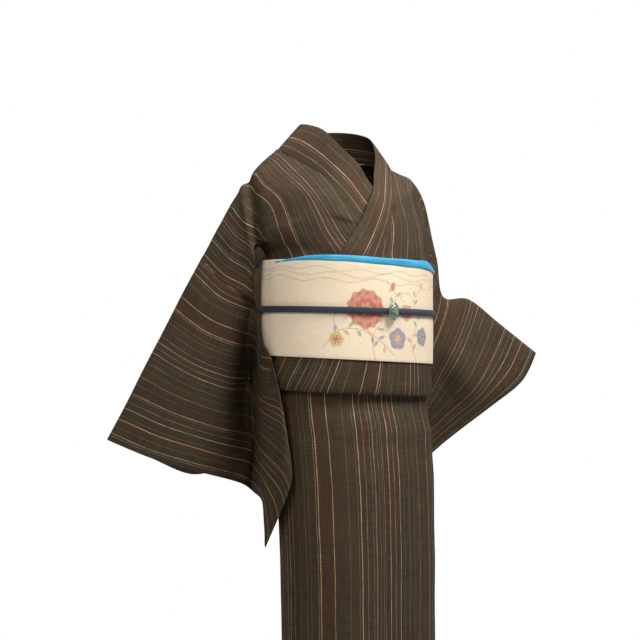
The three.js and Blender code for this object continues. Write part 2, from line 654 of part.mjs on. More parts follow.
add("clasp", bodyFrom(claspPoints, claspIndex), material("#8fa39a", 0.35, 0.2));

export default group;
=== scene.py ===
import math

import bpy
import numpy as np
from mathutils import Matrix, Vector
from mathutils.kdtree import KDTree


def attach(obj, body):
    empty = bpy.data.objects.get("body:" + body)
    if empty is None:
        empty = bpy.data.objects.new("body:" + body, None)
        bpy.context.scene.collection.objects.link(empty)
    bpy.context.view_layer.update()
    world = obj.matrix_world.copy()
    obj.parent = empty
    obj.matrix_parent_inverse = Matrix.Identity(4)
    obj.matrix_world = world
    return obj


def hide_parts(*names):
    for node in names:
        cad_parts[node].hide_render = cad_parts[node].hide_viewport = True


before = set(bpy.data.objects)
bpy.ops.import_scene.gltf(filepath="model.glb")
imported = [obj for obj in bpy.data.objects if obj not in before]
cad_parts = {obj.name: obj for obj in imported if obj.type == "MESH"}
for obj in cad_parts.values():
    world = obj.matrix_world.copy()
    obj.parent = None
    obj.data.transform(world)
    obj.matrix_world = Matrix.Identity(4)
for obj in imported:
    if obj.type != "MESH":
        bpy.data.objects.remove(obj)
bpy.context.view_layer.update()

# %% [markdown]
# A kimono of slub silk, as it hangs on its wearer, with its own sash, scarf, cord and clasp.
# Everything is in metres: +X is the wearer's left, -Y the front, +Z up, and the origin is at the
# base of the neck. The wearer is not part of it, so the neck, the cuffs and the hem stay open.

# %% [markdown]
# The camera stands a little to the wearer's right, level with the sash, and aims level. The lens
# shift puts the wearer's axis a little right of the middle of the picture.

# %% Camera
CAMERA_TURN = math.radians(33)     # how far round to the wearer's right
CAMERA_AWAY = 2.3
CAMERA_UP = -0.293
back = Vector((-math.sin(CAMERA_TURN), -math.cos(CAMERA_TURN), 0))
lens = bpy.data.cameras.new("lens")
lens.sensor_width = 36
lens.lens = 75.04
lens.shift_x = -28 / 640
camera = bpy.data.objects.new("camera", lens)
bpy.context.scene.collection.objects.link(camera)
camera.location = back * CAMERA_AWAY + Vector((0, 0, CAMERA_UP))
camera.rotation_mode = "QUATERNION"
camera.rotation_quaternion = (-back).to_track_quat("-Z", "Y")
bpy.context.scene.camera = camera
print("camera at", [round(v, 3) for v in camera.location])

# %% [markdown]
# The light is soft and white, as in a photo studio: a bright surround, one large light high up in
# front on the wearer's left, a weaker one from the right, and one from above.

# %% Light and floor
HEM_Z = -1.34


def soft_light(name, place, aim, wide, watts):
    data = bpy.data.lights.new(name, "AREA")
    data.shape = "DISK"
    data.size = wide
    data.energy = watts
    lamp = bpy.data.objects.new(name, data)
    bpy.context.scene.collection.objects.link(lamp)
    lamp.location = place
    lamp.rotation_mode = "QUATERNION"
    lamp.rotation_quaternion = (Vector(aim) - Vector(place)).to_track_quat("-Z", "Y")
    return lamp


soft_light("key light", (0.5, -1.15, 1.4), (0, 0, 0.15), 1.1, 78)
soft_light("side light", (-1.6, -1.1, 1.1), (0, 0, 0.05), 1.1, 31)
soft_light("top light", (0.2, 0.4, 2.1), (0, 0, -0.3), 1.4, 30)
world = bpy.data.worlds.new("surround")
world.use_nodes = True
surround = world.node_tree
soft = surround.nodes["Background"]
soft.inputs["Color"].default_value = (1, 1, 1, 1)
soft.inputs["Strength"].default_value = 0.2
# the camera sees a plain white backdrop, brighter than the light that the surround gives
backdrop = surround.nodes.new("ShaderNodeBackground")
backdrop.inputs["Color"].default_value = (1, 1, 1, 1)
ray = surround.nodes.new("ShaderNodeLightPath")
choice = surround.nodes.new("ShaderNodeMixShader")
surround.links.new(ray.outputs["Is Camera Ray"], choice.inputs[0])
surround.links.new(soft.outputs[0], choice.inputs[1])
surround.links.new(backdrop.outputs[0], choice.inputs[2])
surround.links.new(choice.outputs[0], surround.nodes["World Output"].inputs[0])
bpy.context.scene.world = world
bpy.context.scene.view_settings.view_transform = "Standard"
bpy.context.scene.view_settings.look = "None"


def disc(name, radius, z, sides=96):
    points = [(0, 0, z)]
    for i in range(sides):
        a = 2 * math.pi * i / sides
        points.append((radius * math.cos(a), radius * math.sin(a), z))
    faces = [(0, i + 1, (i + 1) % sides + 1) for i in range(sides)]
    mesh = bpy.data.meshes.new(name)
    mesh.from_pydata(points, [], faces)
    piece = bpy.data.objects.new(name, mesh)
    bpy.context.scene.collection.objects.link(piece)
    return piece


floor = disc("floor", 1.85, HEM_Z - 0.012)
print("floor 12 mm below the hem")

# %% [markdown]
# Each piece of cloth begins as a grid of points with two cloth coordinates: u runs across the
# stripes and v along the warp. The grid is given a thickness, and the coordinates go with it, so
# that the stripes run along the cloth however it lies.

# %% Small tools for shapes
MM = 0.001
DEG = math.pi / 180


def curve(points, places, closed=False):
    """A smooth curve through rows of points, read at places from 0 to 1."""
    points = np.asarray(points, float)
    n = len(points)
    spans = n if closed else n - 1
    f = np.minimum(np.asarray(places, float) * spans, spans - 1e-9)
    i = np.floor(f).astype(int)
    u = (f - i).reshape((-1,) + (1,) * (points.ndim - 1))
    if closed:
        p, q, r, s = (points[(i + k) % n] for k in (-1, 0, 1, 2))
    else:
        first = 2 * points[:1] - points[1:2]
        last = 2 * points[-1:] - points[-2:-1]
        longer = np.concatenate([first, points, last])
        p, q, r, s = (longer[i + k] for k in (0, 1, 2, 3))
    ahead = (r - p) / 2
    after = (s - q) / 2
    start = (2 * u ** 3 - 3 * u ** 2 + 1) * q + (u ** 3 - 2 * u ** 2 + u) * ahead
    return start + (3 * u ** 2 - 2 * u ** 3) * r + (u ** 3 - u ** 2) * after


def smooth_grid(rows, along, across, closed=False):
    """Rows of key points become a fine grid, read at the places along and across."""
    rows = np.asarray(rows, float)
    dense = curve(rows.swapaxes(0, 1), across, closed).swapaxes(0, 1)
    return curve(dense, along)


def steps(count, closed=False):
    return np.arange(count) / count if closed else np.linspace(0, 1, count + 1)


def lengths(grid, axis, closed=False):
    """How far each point of the grid is from the first one, measured along one axis."""
    if closed:
        grid = np.concatenate([grid, grid[:, :1]], axis=1)
    gaps = np.linalg.norm(np.diff(grid, axis=axis), axis=2)
    start = np.zeros_like(gaps.take([0], axis=axis))
    return np.concatenate([start, np.cumsum(gaps, axis=axis)], axis=axis)


def spread_area(grid, closed=False):
    """Area of a grid in square metres."""
    if closed:
        grid = np.concatenate([grid, grid[:, :1]], axis=1)
    a, b = grid[1:, :-1] - grid[:-1, :-1], grid[:-1, 1:] - grid[:-1, :-1]
    c, d = grid[1:, :-1] - grid[1:, 1:], grid[:-1, 1:] - grid[1:, 1:]
    both = np.linalg.norm(np.cross(a, b), axis=2) + np.linalg.norm(np.cross(c, d), axis=2)
    return float(both.sum() / 2) * MM * MM


def normals_of(grid, closed=False):
    if closed:
        across = np.roll(grid, -1, axis=1) - np.roll(grid, 1, axis=1)
    else:
        across = np.gradient(grid, axis=1)
    along = np.gradient(grid, axis=0)
    n = np.cross(across, along)
    return n / np.maximum(np.linalg.norm(n, axis=2, keepdims=True), 1e-9)


def facing_out(grid, closed, middle):
    """The normals, turned to point away from the middle."""
    n = normals_of(grid, closed)
    if closed and middle is None:
        middle = grid.mean(axis=1, keepdims=True)
    away = ((grid - np.asarray(middle)) * n).sum()
    return n if away > 0 else -n


def cloth(name, grid, u, v, thickness, surfaces, closed=False, middle=None):
    """A closed piece of cloth in metres: outside, inside and four edges, or two on a ring.

    grid, u and v are in millimetres. surfaces holds the outer and the inner material.
    """
    grid = np.asarray(grid, float)
    out = facing_out(grid, closed, middle) * thickness / 2
    rows, cols = grid.shape[:2]
    points = np.concatenate([(grid + out).reshape(-1, 3), (grid - out).reshape(-1, 3)]) * MM
    count = rows * cols
    spans = cols if closed else cols - 1
    faces = []
    places = []
    inner = []

    def put(corners, within):
        faces.append([k + i * cols + j % cols for k, i, j in corners])
        places.extend((u[i, j] * MM, v[i, j] * MM) for _, i, j in corners)
        inner.append(within)

    for i in range(rows - 1):
        for j in range(spans):
            put([(0, i, j), (0, i, j + 1), (0, i + 1, j + 1), (0, i + 1, j)], 0)
            put([(count, i, j), (count, i + 1, j), (count, i + 1, j + 1), (count, i, j + 1)], 1)
    for j in range(spans):
        last = rows - 1
        put([(0, 0, j), (count, 0, j), (count, 0, j + 1), (0, 0, j + 1)], 0)
        put([(0, last, j), (0, last, j + 1), (count, last, j + 1), (count, last, j)], 0)
    if not closed:
        for i in range(rows - 1):
            last = cols - 1
            put([(0, i, 0), (0, i + 1, 0), (count, i + 1, 0), (count, i, 0)], 0)
            put([(0, i, last), (count, i, last), (count, i + 1, last), (0, i + 1, last)], 0)
    return solid(name, points.tolist(), faces, surfaces, places, inner, 60)


def signed_volume(mesh):
    mesh.calc_loop_triangles()
    corners = np.array([t.vertices for t in mesh.loop_triangles])
    at = np.array([p.co for p in mesh.vertices])
    a, b, c = (at[corners[:, k]] for k in range(3))
    return float((a * np.cross(b, c)).sum() / 6)


def solid(name, points, faces, surfaces, places=None, inner=None, sharp=None):
    """A smooth object; places holds each corner's cloth coordinates, inner each face's material."""
    mesh = bpy.data.meshes.new(name)
    mesh.from_pydata(points, [], faces)
    if places is not None:
        mesh.uv_layers.new(name="cloth").data.foreach_set("uv", np.asarray(places).ravel())
    if inner is not None:
        mesh.polygons.foreach_set("material_index", inner)
    mesh.polygons.foreach_set("use_smooth", [True] * len(faces))
    for surface in surfaces:
        mesh.materials.append(surface)
    if signed_volume(mesh) < 0:
        mesh.flip_normals()
    if sharp:
        mesh.set_sharp_from_angle(angle=sharp * DEG)
    piece = bpy.data.objects.new(name, mesh)
    bpy.context.scene.collection.objects.link(piece)
    return piece


def settle(piece, nodes):
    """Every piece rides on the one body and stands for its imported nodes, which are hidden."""
    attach(piece, "root")
    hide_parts(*nodes)
    print(piece.name, len(piece.data.polygons), "faces")


def ripple(u, v, seed, size, depth):
    """Soft, uneven rise and fall of a cloth, in millimetres, the same on every run."""
    chance = np.random.RandomState(seed)
    total = np.zeros_like(u)
    for _ in range(7):
        turn = chance.uniform(0, 2 * math.pi)
        wave = size * chance.uniform(0.7, 1.8)
        start = chance.uniform(0, 2 * math.pi)
        total += np.sin((u * math.cos(turn) + v * math.sin(turn)) * 2 * math.pi / wave + start)
    return total * depth / 3


def bump(t, centre, width):
    return np.exp(-((t - centre) / width) ** 2)

# %% [markdown]
# The colours are given as they look on a screen and turned into linear values by one function.
# The kimono's stripes are one list for the whole width of the cloth, 370 mm: where a line lies,
# how wide it is, its colour and how strongly it shows. The list repeats with each width.

# %% Colours and nodes


def colour(hexed, alpha=1.0):
    parts = [int(hexed[i:i + 2], 16) / 255 for i in (1, 3, 5)]
    linear = [p / 12.92 if p <= 0.04045 else ((p + 0.055) / 1.055) ** 2.4 for p in parts]
    return (*linear, alpha)


class Surface:
    """A material whose nodes are added one by one, each with its settings and its links."""

    def __init__(self, name):
        self.material = bpy.data.materials.new(name)
        self.material.use_nodes = True
        self.tree = self.material.node_tree
        self.tree.nodes.clear()

    def add(self, kind, settings=None, **inputs):
        node = self.tree.nodes.new("ShaderNode" + kind)
        for key, value in (settings or {}).items():
            setattr(node, key, value)
        for key, value in inputs.items():
            self.set(node, key, value)
        return node

    def set(self, node, key, value):
        socket = node.inputs[int(key[1:])] if key[0] == "i" and key[1:].isdigit() else None
        if socket is None:
            socket = node.inputs[key.replace("_", " ")]
        if isinstance(value, bpy.types.NodeSocket):
            self.tree.links.new(value, socket)
        else:
            socket.default_value = value

    def math(self, operation, first, second=0.0, third=0.0):
        settings = {"operation": operation}
        return self.add("Math", settings, i0=first, i1=second, i2=third).outputs[0]

    def mix(self, share, first, second, blend="MIX"):
        node = self.tree.nodes.new("ShaderNodeMix")
        node.data_type = "RGBA"
        node.blend_type = blend
        self.set(node, "i0", share)
        self.set(node, "i6", first)
        self.set(node, "i7", second)
        return node.outputs[2]

    def ramp(self, value, stops, how="LINEAR"):
        """stops: place from 0 to 1, colour with alpha."""
        node = self.add("ValToRGB", None, Fac=value)
        node.color_ramp.interpolation = how
        points = node.color_ramp.elements
        for place, shade in stops[1:-1]:
            points.new(place).color = shade
        points[0].position, points[0].color = stops[0]
        points[len(points) - 1].position, points[len(points) - 1].color = stops[-1]
        return node.outputs[0], node.outputs[1]

    def noise(self, place, scale, detail=2.0, rough=0.5):
        return self.add("TexNoise", None, Vector=place, Scale=scale, Detail=detail,
                        Roughness=rough).outputs[0]

    def range(self, value, low, high, new_low, new_high):
        node = self.add("MapRange", {"clamp": True}, Value=value)
        for key, number in (("From Min", low), ("From Max", high), ("To Min", new_low), ("To Max", new_high)):
            node.inputs[key].default_value = number
        return node.outputs[0]

    def cloth_place(self):
        """The cloth coordinates u and v in metres."""
        place = self.add("UVMap", {"uv_map": "cloth"}).outputs[0]
        parts = self.add("SeparateXYZ", None, i0=place)
        return parts.outputs[0], parts.outputs[1]

    def vector(self, x, y, z=0.0):
        return self.add("CombineXYZ", None, i0=x, i1=y, i2=z).outputs[0]

    def streaks(self, u, v, across, along, *rest):
        """Noise with this many changes a metre across the cloth and along it."""
        place = self.vector(self.math("MULTIPLY", u, across), self.math("MULTIPLY", v, along))
        return self.noise(place, 1.0, *rest)

    def wave(self, value, length):
        return self.math("SINE", self.math("MULTIPLY", value, 2 * math.pi / length))

    def weave(self, u, v, across, along, depth):
        """Plain weave, from the distances between its threads in metres."""
        crossed = self.math("MULTIPLY", self.wave(u, across), self.wave(v, along))
        return self.math("MULTIPLY", crossed, depth)

    def finish(self, shade, rough, height=None, lift=0.0, sheen=0.0, **extra):
        """lift is how far the bump rises, in metres."""
        shader = self.add("BsdfPrincipled", None)
        self.set(shader, "Base_Color", shade)
        self.set(shader, "Roughness", rough)
        if sheen:
            self.set(shader, "Sheen_Weight", sheen)
            self.set(shader, "Sheen_Roughness", 0.55)
        for key, value in extra.items():
            self.set(shader, key, value)
        if height is not None:
            raised = self.add("Bump", None, Height=height, Strength=0.8, Distance=lift)
            self.tree.links.new(raised.outputs[0], shader.inputs["Normal"])
        out = self.tree.nodes.new("ShaderNodeOutputMaterial")
        self.tree.links.new(shader.outputs[0], out.inputs[0])
        return self.material


# %% The striped cloth
CLOTH_WIDE = 370
CREAM = "#a09683"
STRAW = "#a08c66"
ASH = "#767060"
# columns: place across the cloth in mm, width in mm, colour, strength
LINES = [
    (1.7, 0.77, ASH, 0.5), (7, 0.85, ASH, 0.6), (14, 0.94, CREAM, 0.55), (19.5, 0.77, ASH, 0.45),
    (29.7, 0.85, CREAM, 0.5), (39.7, 1.27, CREAM, 1.0), (44.7, 0.77, ASH, 0.55), (59.4, 0.77, ASH, 0.5),
    (85.3, 1.36, STRAW, 1.0), (108.5, 1.27, STRAW, 0.95), (112.6, 0.77, CREAM, 0.6), (126, 0.68, ASH, 0.4),
    (133.4, 0.85, ASH, 0.5), (147, 0.77, ASH, 0.4), (161, 0.85, CREAM, 0.5), (171.4, 1.02, CREAM, 0.75),
    (181.2, 0.85, CREAM, 0.6), (191.5, 1.02, CREAM, 0.7), (200, 0.68, ASH, 0.4), (211.4, 0.77, ASH, 0.5),
    (224, 0.68, ASH, 0.35), (237.6, 0.85, CREAM, 0.55), (252, 0.77, ASH, 0.45), (269.1, 1.1, CREAM, 0.8),
    (273.5, 0.77, ASH, 0.6), (284.8, 0.85, CREAM, 0.6), (297, 1.19, CREAM, 0.9), (311, 0.85, ASH, 0.5),
    (318.5, 1.27, STRAW, 0.9), (333, 0.77, ASH, 0.5), (346, 1.1, CREAM, 0.75), (350.5, 0.77, ASH, 0.6),
    (362, 0.85, CREAM, 0.55),
]
# columns: place across the cloth in mm, colour of the ground there
GROUND = [
    (0, "#30261b"), (18, "#33261b"), (30, "#36251a"), (42, "#2f261a"), (58, "#33281b"), (74, "#2e261a"),
    (90, "#30251a"), (104, "#37241a"), (118, "#2f261a"), (140, "#33261a"), (158, "#2e241a"), (176, "#36251a"),
    (196, "#30261b"), (214, "#2e261a"), (236, "#33291b"), (252, "#2e251a"), (268, "#36251a"),
    (286, "#31261a"), (304, "#2e261a"), (322, "#36261a"), (340, "#30271a"), (356, "#2e241a"),
    (370, "#30261b"),
]


def striped(name, lit=1.0):
    s = Surface(name)
    u, v = s.cloth_place()
    waver = s.streaks(u, v, 25.0, 14.0, 1.0)
    strayed = s.math("ADD", u, s.math("MULTIPLY", s.math("SUBTRACT", waver, 0.5), 0.0016))
    across = s.math("MODULO", s.math("ADD", strayed, CLOTH_WIDE * MM * 8), CLOTH_WIDE * MM)
    share = s.math("DIVIDE", across, CLOTH_WIDE * MM)
    shade, _ = s.ramp(share, [(at / CLOTH_WIDE, colour(h)) for at, h in GROUND])

    # threads dyed in lengths: olive and rust come and go along the warp
    patch = s.streaks(u, v, 30.0, 14.0, 3.0, 0.6)
    shade = s.mix(s.range(patch, 0.5, 0.72, 0.0, 0.4), shade, colour("#2a291b"))
    rust = s.noise(s.vector(s.math("MULTIPLY", u, 42.0), s.math("MULTIPLY", v, 9.0), 3.0), 1.0, 3.0, 0.6)
    shade = s.mix(s.range(rust, 0.54, 0.74, 0.0, 0.4), shade, colour("#3a2219"))

    # the lines, a quarter of the width at a time so that each ramp stays sharp
    quarter = CLOTH_WIDE / 4
    uneven = s.streaks(u, v, 300.0, 45.0, 3.0)
    broken = s.range(uneven, 0.3, 0.66, 0.3, 0.72)
    for part in range(4):
        first = part * quarter
        stops = [(0.0, colour(CREAM, 0.0))]
        for at, wide, tint, strength in LINES:
            if first <= at - wide / 2 and at + wide / 2 < first + quarter:
                begin = (at - wide / 2 - first) / quarter
                stops.append((begin, colour(tint, strength)))
                stops.append((begin + wide / quarter, colour(tint, 0.0)))
        stops.append((1.0, colour(CREAM, 0.0)))
        local = s.range(across, first * MM, (first + quarter) * MM, 0.0, 1.0)
        tint, strength = s.ramp(local, stops, "CONSTANT")
        shade = s.mix(s.math("MULTIPLY", strength, broken), shade, tint)

    # slubs: thick places in the threads, long along the warp and along the weft
    warp = s.streaks(u, v, 1300.0, 26.0, 3.0, 0.6)
    weft = s.streaks(u, v, 22.0, 1300.0, 3.0, 0.6)
    thread = s.math("ADD", warp, weft)
    # lit makes the whole cloth lighter; the higher value on the collar's copy is painted light
    light = s.range(thread, 0.76, 1.24, 0.62 * lit, 1.5 * lit)
    wear = s.noise(s.vector(u, v), 9.0, 3.0)
    light = s.math("MULTIPLY", light, s.range(wear, 0.3, 0.7, 0.93, 1.07))
    shade = s.mix(1.0, shade, s.vector(light, light, light), "MULTIPLY")

    # plain weave of threads about 0.5 mm apart under the slubs
    height = s.math("ADD", s.weave(u, v, 0.00045, 0.0005, 0.25), thread)
    return s.finish(shade, s.range(thread, 0.7, 1.3, 0.86, 0.7), height, 0.00025,
                    Specular_IOR_Level=0.12)


def lining(name):
    s = Surface(name)
    u, v = s.cloth_place()
    warp = s.streaks(u, v, 900.0, 60.0, 2.0)
    soft = s.noise(s.vector(u, v), 14.0, 2.0)
    shade = s.mix(s.range(soft, 0.3, 0.7, 0.0, 1.0), colour("#5d3a30"), colour("#6d4638"))
    # the lining starts half-way out; towards the body the inside is the back of the brown cloth
    shade = s.mix(s.range(u, 0.17, 0.175, 1.0, 0.0), shade, colour("#2b2118"))
    return s.finish(shade, 0.5, warp, 0.0001, sheen=0.05, Specular_IOR_Level=0.3)


KIMONO = striped("striped slub silk", 1.38)
# the collar's copy of the same cloth is painted lighter: painted light, for the light that falls on it from
# above in front
COLLAR_CLOTH_PAINTED_LIGHTER = striped("striped slub silk of the collar, painted lighter", 1.55)
LINING = lining("red-brown silk lining")
print(len(LINES), "lines and", len(GROUND), "ground bands across", CLOTH_WIDE, "mm")

# %% [markdown]
# The forms that the pieces share: the rings of the body and of the skirt, and the same places as
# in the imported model, in millimetres.

# %% Forms
CLOTH = 1.1                        # thickness of the kimono's cloth
SASH_TOP = -202
SASH_BOTTOM = -361
SASH_A = 155
SASH_B = 130
SASH_WALL = 2.4
TILT = 9                           # the sash sits this much lower on the wearer's left
YAW = 33 * DEG                     # the photo looks at the piece from this far round
AWAY = np.array([math.sin(YAW), math.cos(YAW), 0])
BACK_SEAM = 179.84                 # degrees from the front to the edge of each panel at the back
# columns: z, half width, half depth, centre y
BODY_FORM = [
    (-200, 150.8, 125.8, 0), (-361, 150.8, 125.8, 0), (-370, 151.4, 126.4, 0), (-430, 151.4, 126.4, 0),
]
SKIRT_FORM = [
    (-345, 142, 117, 0), (-400, 141.4, 116.4, 0), (-425, 141, 115.6, 0), (-480, 142.5, 116.5, -13),
    (-560, 141, 115, -24), (-700, 138.5, 113, -32), (-850, 136.5, 111, -34), (-1000, 134, 109, -34),
    (-1180, 130, 105, -34), (-1340, 126, 101, -34),
]


def between(table, z):
    heights = [-row[0] for row in table]
    return [float(np.interp(-z, heights, [row[k] for row in table])) for k in range(1, len(table[0]))]


def on_form(table, angle, z, inward=0.0, drop=0.0):
    """angle 0 is the front, +90 the wearer's left side; drop lowers the point without moving it in."""
    a, b, middle = between(table, z)
    x = (a - inward) * math.sin(angle * DEG)
    y = middle - (b - inward) * math.cos(angle * DEG)
    return (x, y, z - drop)


def in_plan(grid):
    """How far each point lies across the photo's view, and how far away."""
    across = grid[:, :, 0] * math.cos(YAW) - grid[:, :, 1] * math.sin(YAW)
    away = grid[:, :, 0] * math.sin(YAW) + grid[:, :, 1] * math.cos(YAW)
    return across, away


def beside(grid, table):
    """How far each point is beside a fold, how far away, and how deep the fold is at its height.

    table: down, across, depth.
    """
    across, away = in_plan(grid)
    down, path, depth = zip(*table)
    path = np.interp(-grid[:, :, 2], down, path)
    return across - path, away, np.interp(-grid[:, :, 2], down, depth, left=0, right=0)


ARC_ANGLES = np.linspace(-180, 180, 1441)


def arc_table(a, b):
    x = a * np.sin(ARC_ANGLES * DEG)
    y = b * np.cos(ARC_ANGLES * DEG)
    along = np.concatenate([[0], np.cumsum(np.hypot(np.diff(x), np.diff(y)))])
    return along - np.interp(0, ARC_ANGLES, along)


ARC = arc_table(140.5, 114.5)


def arc(angle):
    """Length of cloth from the front centre to this angle round the body."""
    return np.interp(angle, ARC_ANGLES, ARC)


def split_spans(rows, longest):
    """A table's rows with more rows put in between, where the first column steps too far."""
    finer = [tuple(rows[0])]
    for before, after in zip(rows[:-1], rows[1:]):
        count = max(1, math.ceil(abs(after[0] - before[0]) / longest))
        for k in range(1, count + 1):
            t = k / count
            finer.append(tuple(p + (q - p) * t for p, q in zip(before, after)))
    return finer


# %% Body panels over the shoulders
# Each row runs from the collar or centre-back edge out to the sleeve or side edge.
# columns: x, y, z of five points
RIGHT_CHEST = [
    [[30, -106, -190], [-30, -106, -184], [-95, -86, -180], [-137, -22, -180], [-142, 36, -182]],
    [[15, -103.5, -177], [-41, -100, -166], [-102, -78, -162], [-152, -8, -166], [-157, 40, -168]],
    [[-1, -101, -164], [-50, -96, -151], [-107, -72, -147], [-166, 3, -166], [-168.5, 42, -206]],
    [[-19, -97, -147], [-62, -89, -134], [-114, -62, -128], [-174, 6, -162], [-163, 42.5, -255]],
    [[-38, -92, -126], [-75, -84, -118], [-120, -50, -112], [-176, 9, -156], [-188, 37, -247]],
    [[-62, -75, -88], [-94, -60, -84], [-134, -25, -84], [-188, 20, -132], [-218, 48.5, -231]],
    [[-85, -36, -45], [-113, -18, -50], [-144, 6, -63], [-193, 36, -114], [-231, 68, -212]],
    [[-112, 35, -6], [-133, 37, -25], [-160, 40, -47], [-199, 53, -106], [-241, 85, -194.5]],
    [[-103, 66, -3], [-126, 72, -22], [-150, 76, -50], [-193, 82, -113], [-229, 93, -209]],
    [[-70, 100, -8], [-99, 104, -34], [-137, 104, -66], [-183, 103, -138], [-212, 97, -226]],
    [[-0.4, 125.5, -11], [-50, 122, -50], [-110, 116, -90], [-163, 110, -160], [-192, 96, -238]],
    [[-0.4, 128, -60], [-55, 126, -90], [-105, 118, -128], [-152, 104, -172], [-170, 82, -258]],
    [[-0.4, 128, -95], [-57, 125, -118], [-106, 113, -146], [-150, 90, -170], [-171, 64, -206]],
    [[-0.4, 128, -125], [-60, 122, -142], [-108, 100, -160], [-142, 72, -170], [-157, 50, -168]],
    [[-0.4, 127, -152], [-63, 115, -166], [-109, 86, -178], [-131, 60, -182], [-142, 38.5, -182]],
]
LEFT_CHEST = [
    [[-10, -112, -185], [45, -114, -180], [99, -86, -178], [137, -22, -190], [142, 36, -196]],
    [[2, -108, -163], [49, -107, -160], [102, -77, -160], [152, -8, -176], [157, 40, -182]],
    [[14, -103, -141], [55, -98, -137], [106, -66, -140], [166, 3, -172], [169, 42, -226]],
    [[21, -98.5, -127], [60, -90, -120], [109, -56, -122], [172, 7, -158], [176, 42, -276]],
    [[28, -93, -114], [66, -80, -104], [112, -45, -105], [176, 13, -142], [193, 43, -253]],
    [[40, -82, -88], [78, -60, -76], [122, -22, -72], [184, 26, -112], [216, 52, -223]],
    [[70, -36, -54], [98, -22, -50], [138, 5, -50], [194, 42, -88], [233, 64, -204]],
    [[105, 20, -29], [128, 28, -32], [160, 37, -42], [203, 56, -82], [248, 76, -181.5]],
    [[102, 56, -17], [128, 68, -25], [160, 72, -46], [203, 84, -95], [243, 77, -206]],
    [[69, 101, -10], [100, 103, -33], [140, 104, -58], [188, 104, -128], [234.5, 76.6, -227]],
    [[0.4, 125.5, -11], [50, 122, -50], [110, 116, -90], [165, 110, -160], [220.5, 81, -258]],
    [[0.4, 128, -60], [55, 126, -90], [105, 118, -128], [156, 104, -176], [200, 86, -272]],
    [[0.4, 128, -95], [57, 125, -118], [106, 113, -146], [152, 90, -176], [172, 64, -226]],
    [[0.4, 128, -125], [60, 122, -142], [108, 100, -160], [142, 72, -178], [157, 50, -184]],
    [[0.4, 127, -152], [63, 115, -168], [109, 86, -184], [131, 60, -192], [142, 38.5, -196]],
]
PANEL_END = -244                   # the panels end here, under the sash
PANEL_LAST = -214                  # and from here down they follow the body's form
SIDE_FRONT, SIDE_BACK = 106.85, 107.15
TUCK = 4.6                         # the right front lies this much inside the left front
FRONT_EDGE = [(-215, 9), (PANEL_END, 17)]
CHEST_ACROSS = 84
CHEST_ALONG = 150
CHEST_MIDDLE = (0, 0, -200)
NAPE_HALF, NAPE_LOW = 14, -24      # the nape: this far to each side of the middle, and up from here
# how the lines lie on each row, from the sash in front over the shoulder to the sash behind: the
# place across the cloth at the row's first point, how closely they follow from there, where the
# upper arm begins, and how far they keep to the seam of the sleeve from there on
LINES_RIGHT = [
    (242, 0.93, 250, 0), (248, 0.93, 240, 0), (273, 0.95, 230, 0), (275, 1, 220, 0.1), (278, 1.1, 212, 0.5),
    (271, 1.15, 193, 1), (260, 1.2, 178, 1), (248, 1.3, 150, 1), (236, 1.4, 112, 1), (205, 1.5, 72, 1),
    (225, 1.2, 80, 1), (268, 1.25, 150, 0.7), (301, 1.18, 200, 0.4), (301, 1.15, 200, 0), (301, 1.05, 200, 0),
] + [(301, 1, 200, 0)] * 4
SEAM_LINE = -65                    # place across the cloth at the seam of the right sleeve
LINES_LEFT = [(at, 1) for at in (301, 298, 292, 286, 280, 274, 267, 258, 248, 241, 246, 268)]
LINES_LEFT += [(301, 1)] * 7


def tucked(sign, angle):
    return 0 if sign > 0 else TUCK * min(1, max(0, (105 - angle) / 17))


def form_row(sign, z, back):
    start = BACK_SEAM if back else -between(FRONT_EDGE, z)[0]
    side = SIDE_BACK if back else SIDE_FRONT
    row = []
    for t in steps(CHEST_ACROSS):
        angle = start + (side - start) * t
        under = 0 if back else 1.3 * tucked(sign, angle)
        row.append(on_form(BODY_FORM, sign * angle, z, under))
    return row


# the deep fold in front of the right armpit
# columns: down, across, depth
ARMPIT_FOLD = [
    (38, -176, 0), (70, -168, 8), (110, -161, 15), (150, -154, 18), (190, -149, 16), (215, -146, 8),
]
FRONT_HALF = 45                    # points less far away than this are in front


def armpit_fold(grid):
    """How far in the cloth is drawn along the fold."""
    aside, away, depth = beside(grid, ARMPIT_FOLD)
    shape = np.where(aside < 0, bump(aside, 0, 4), bump(aside, 0, 13)) - 0.35 * bump(aside, -10, 6)
    return shape * depth * (away < FRONT_HALF)


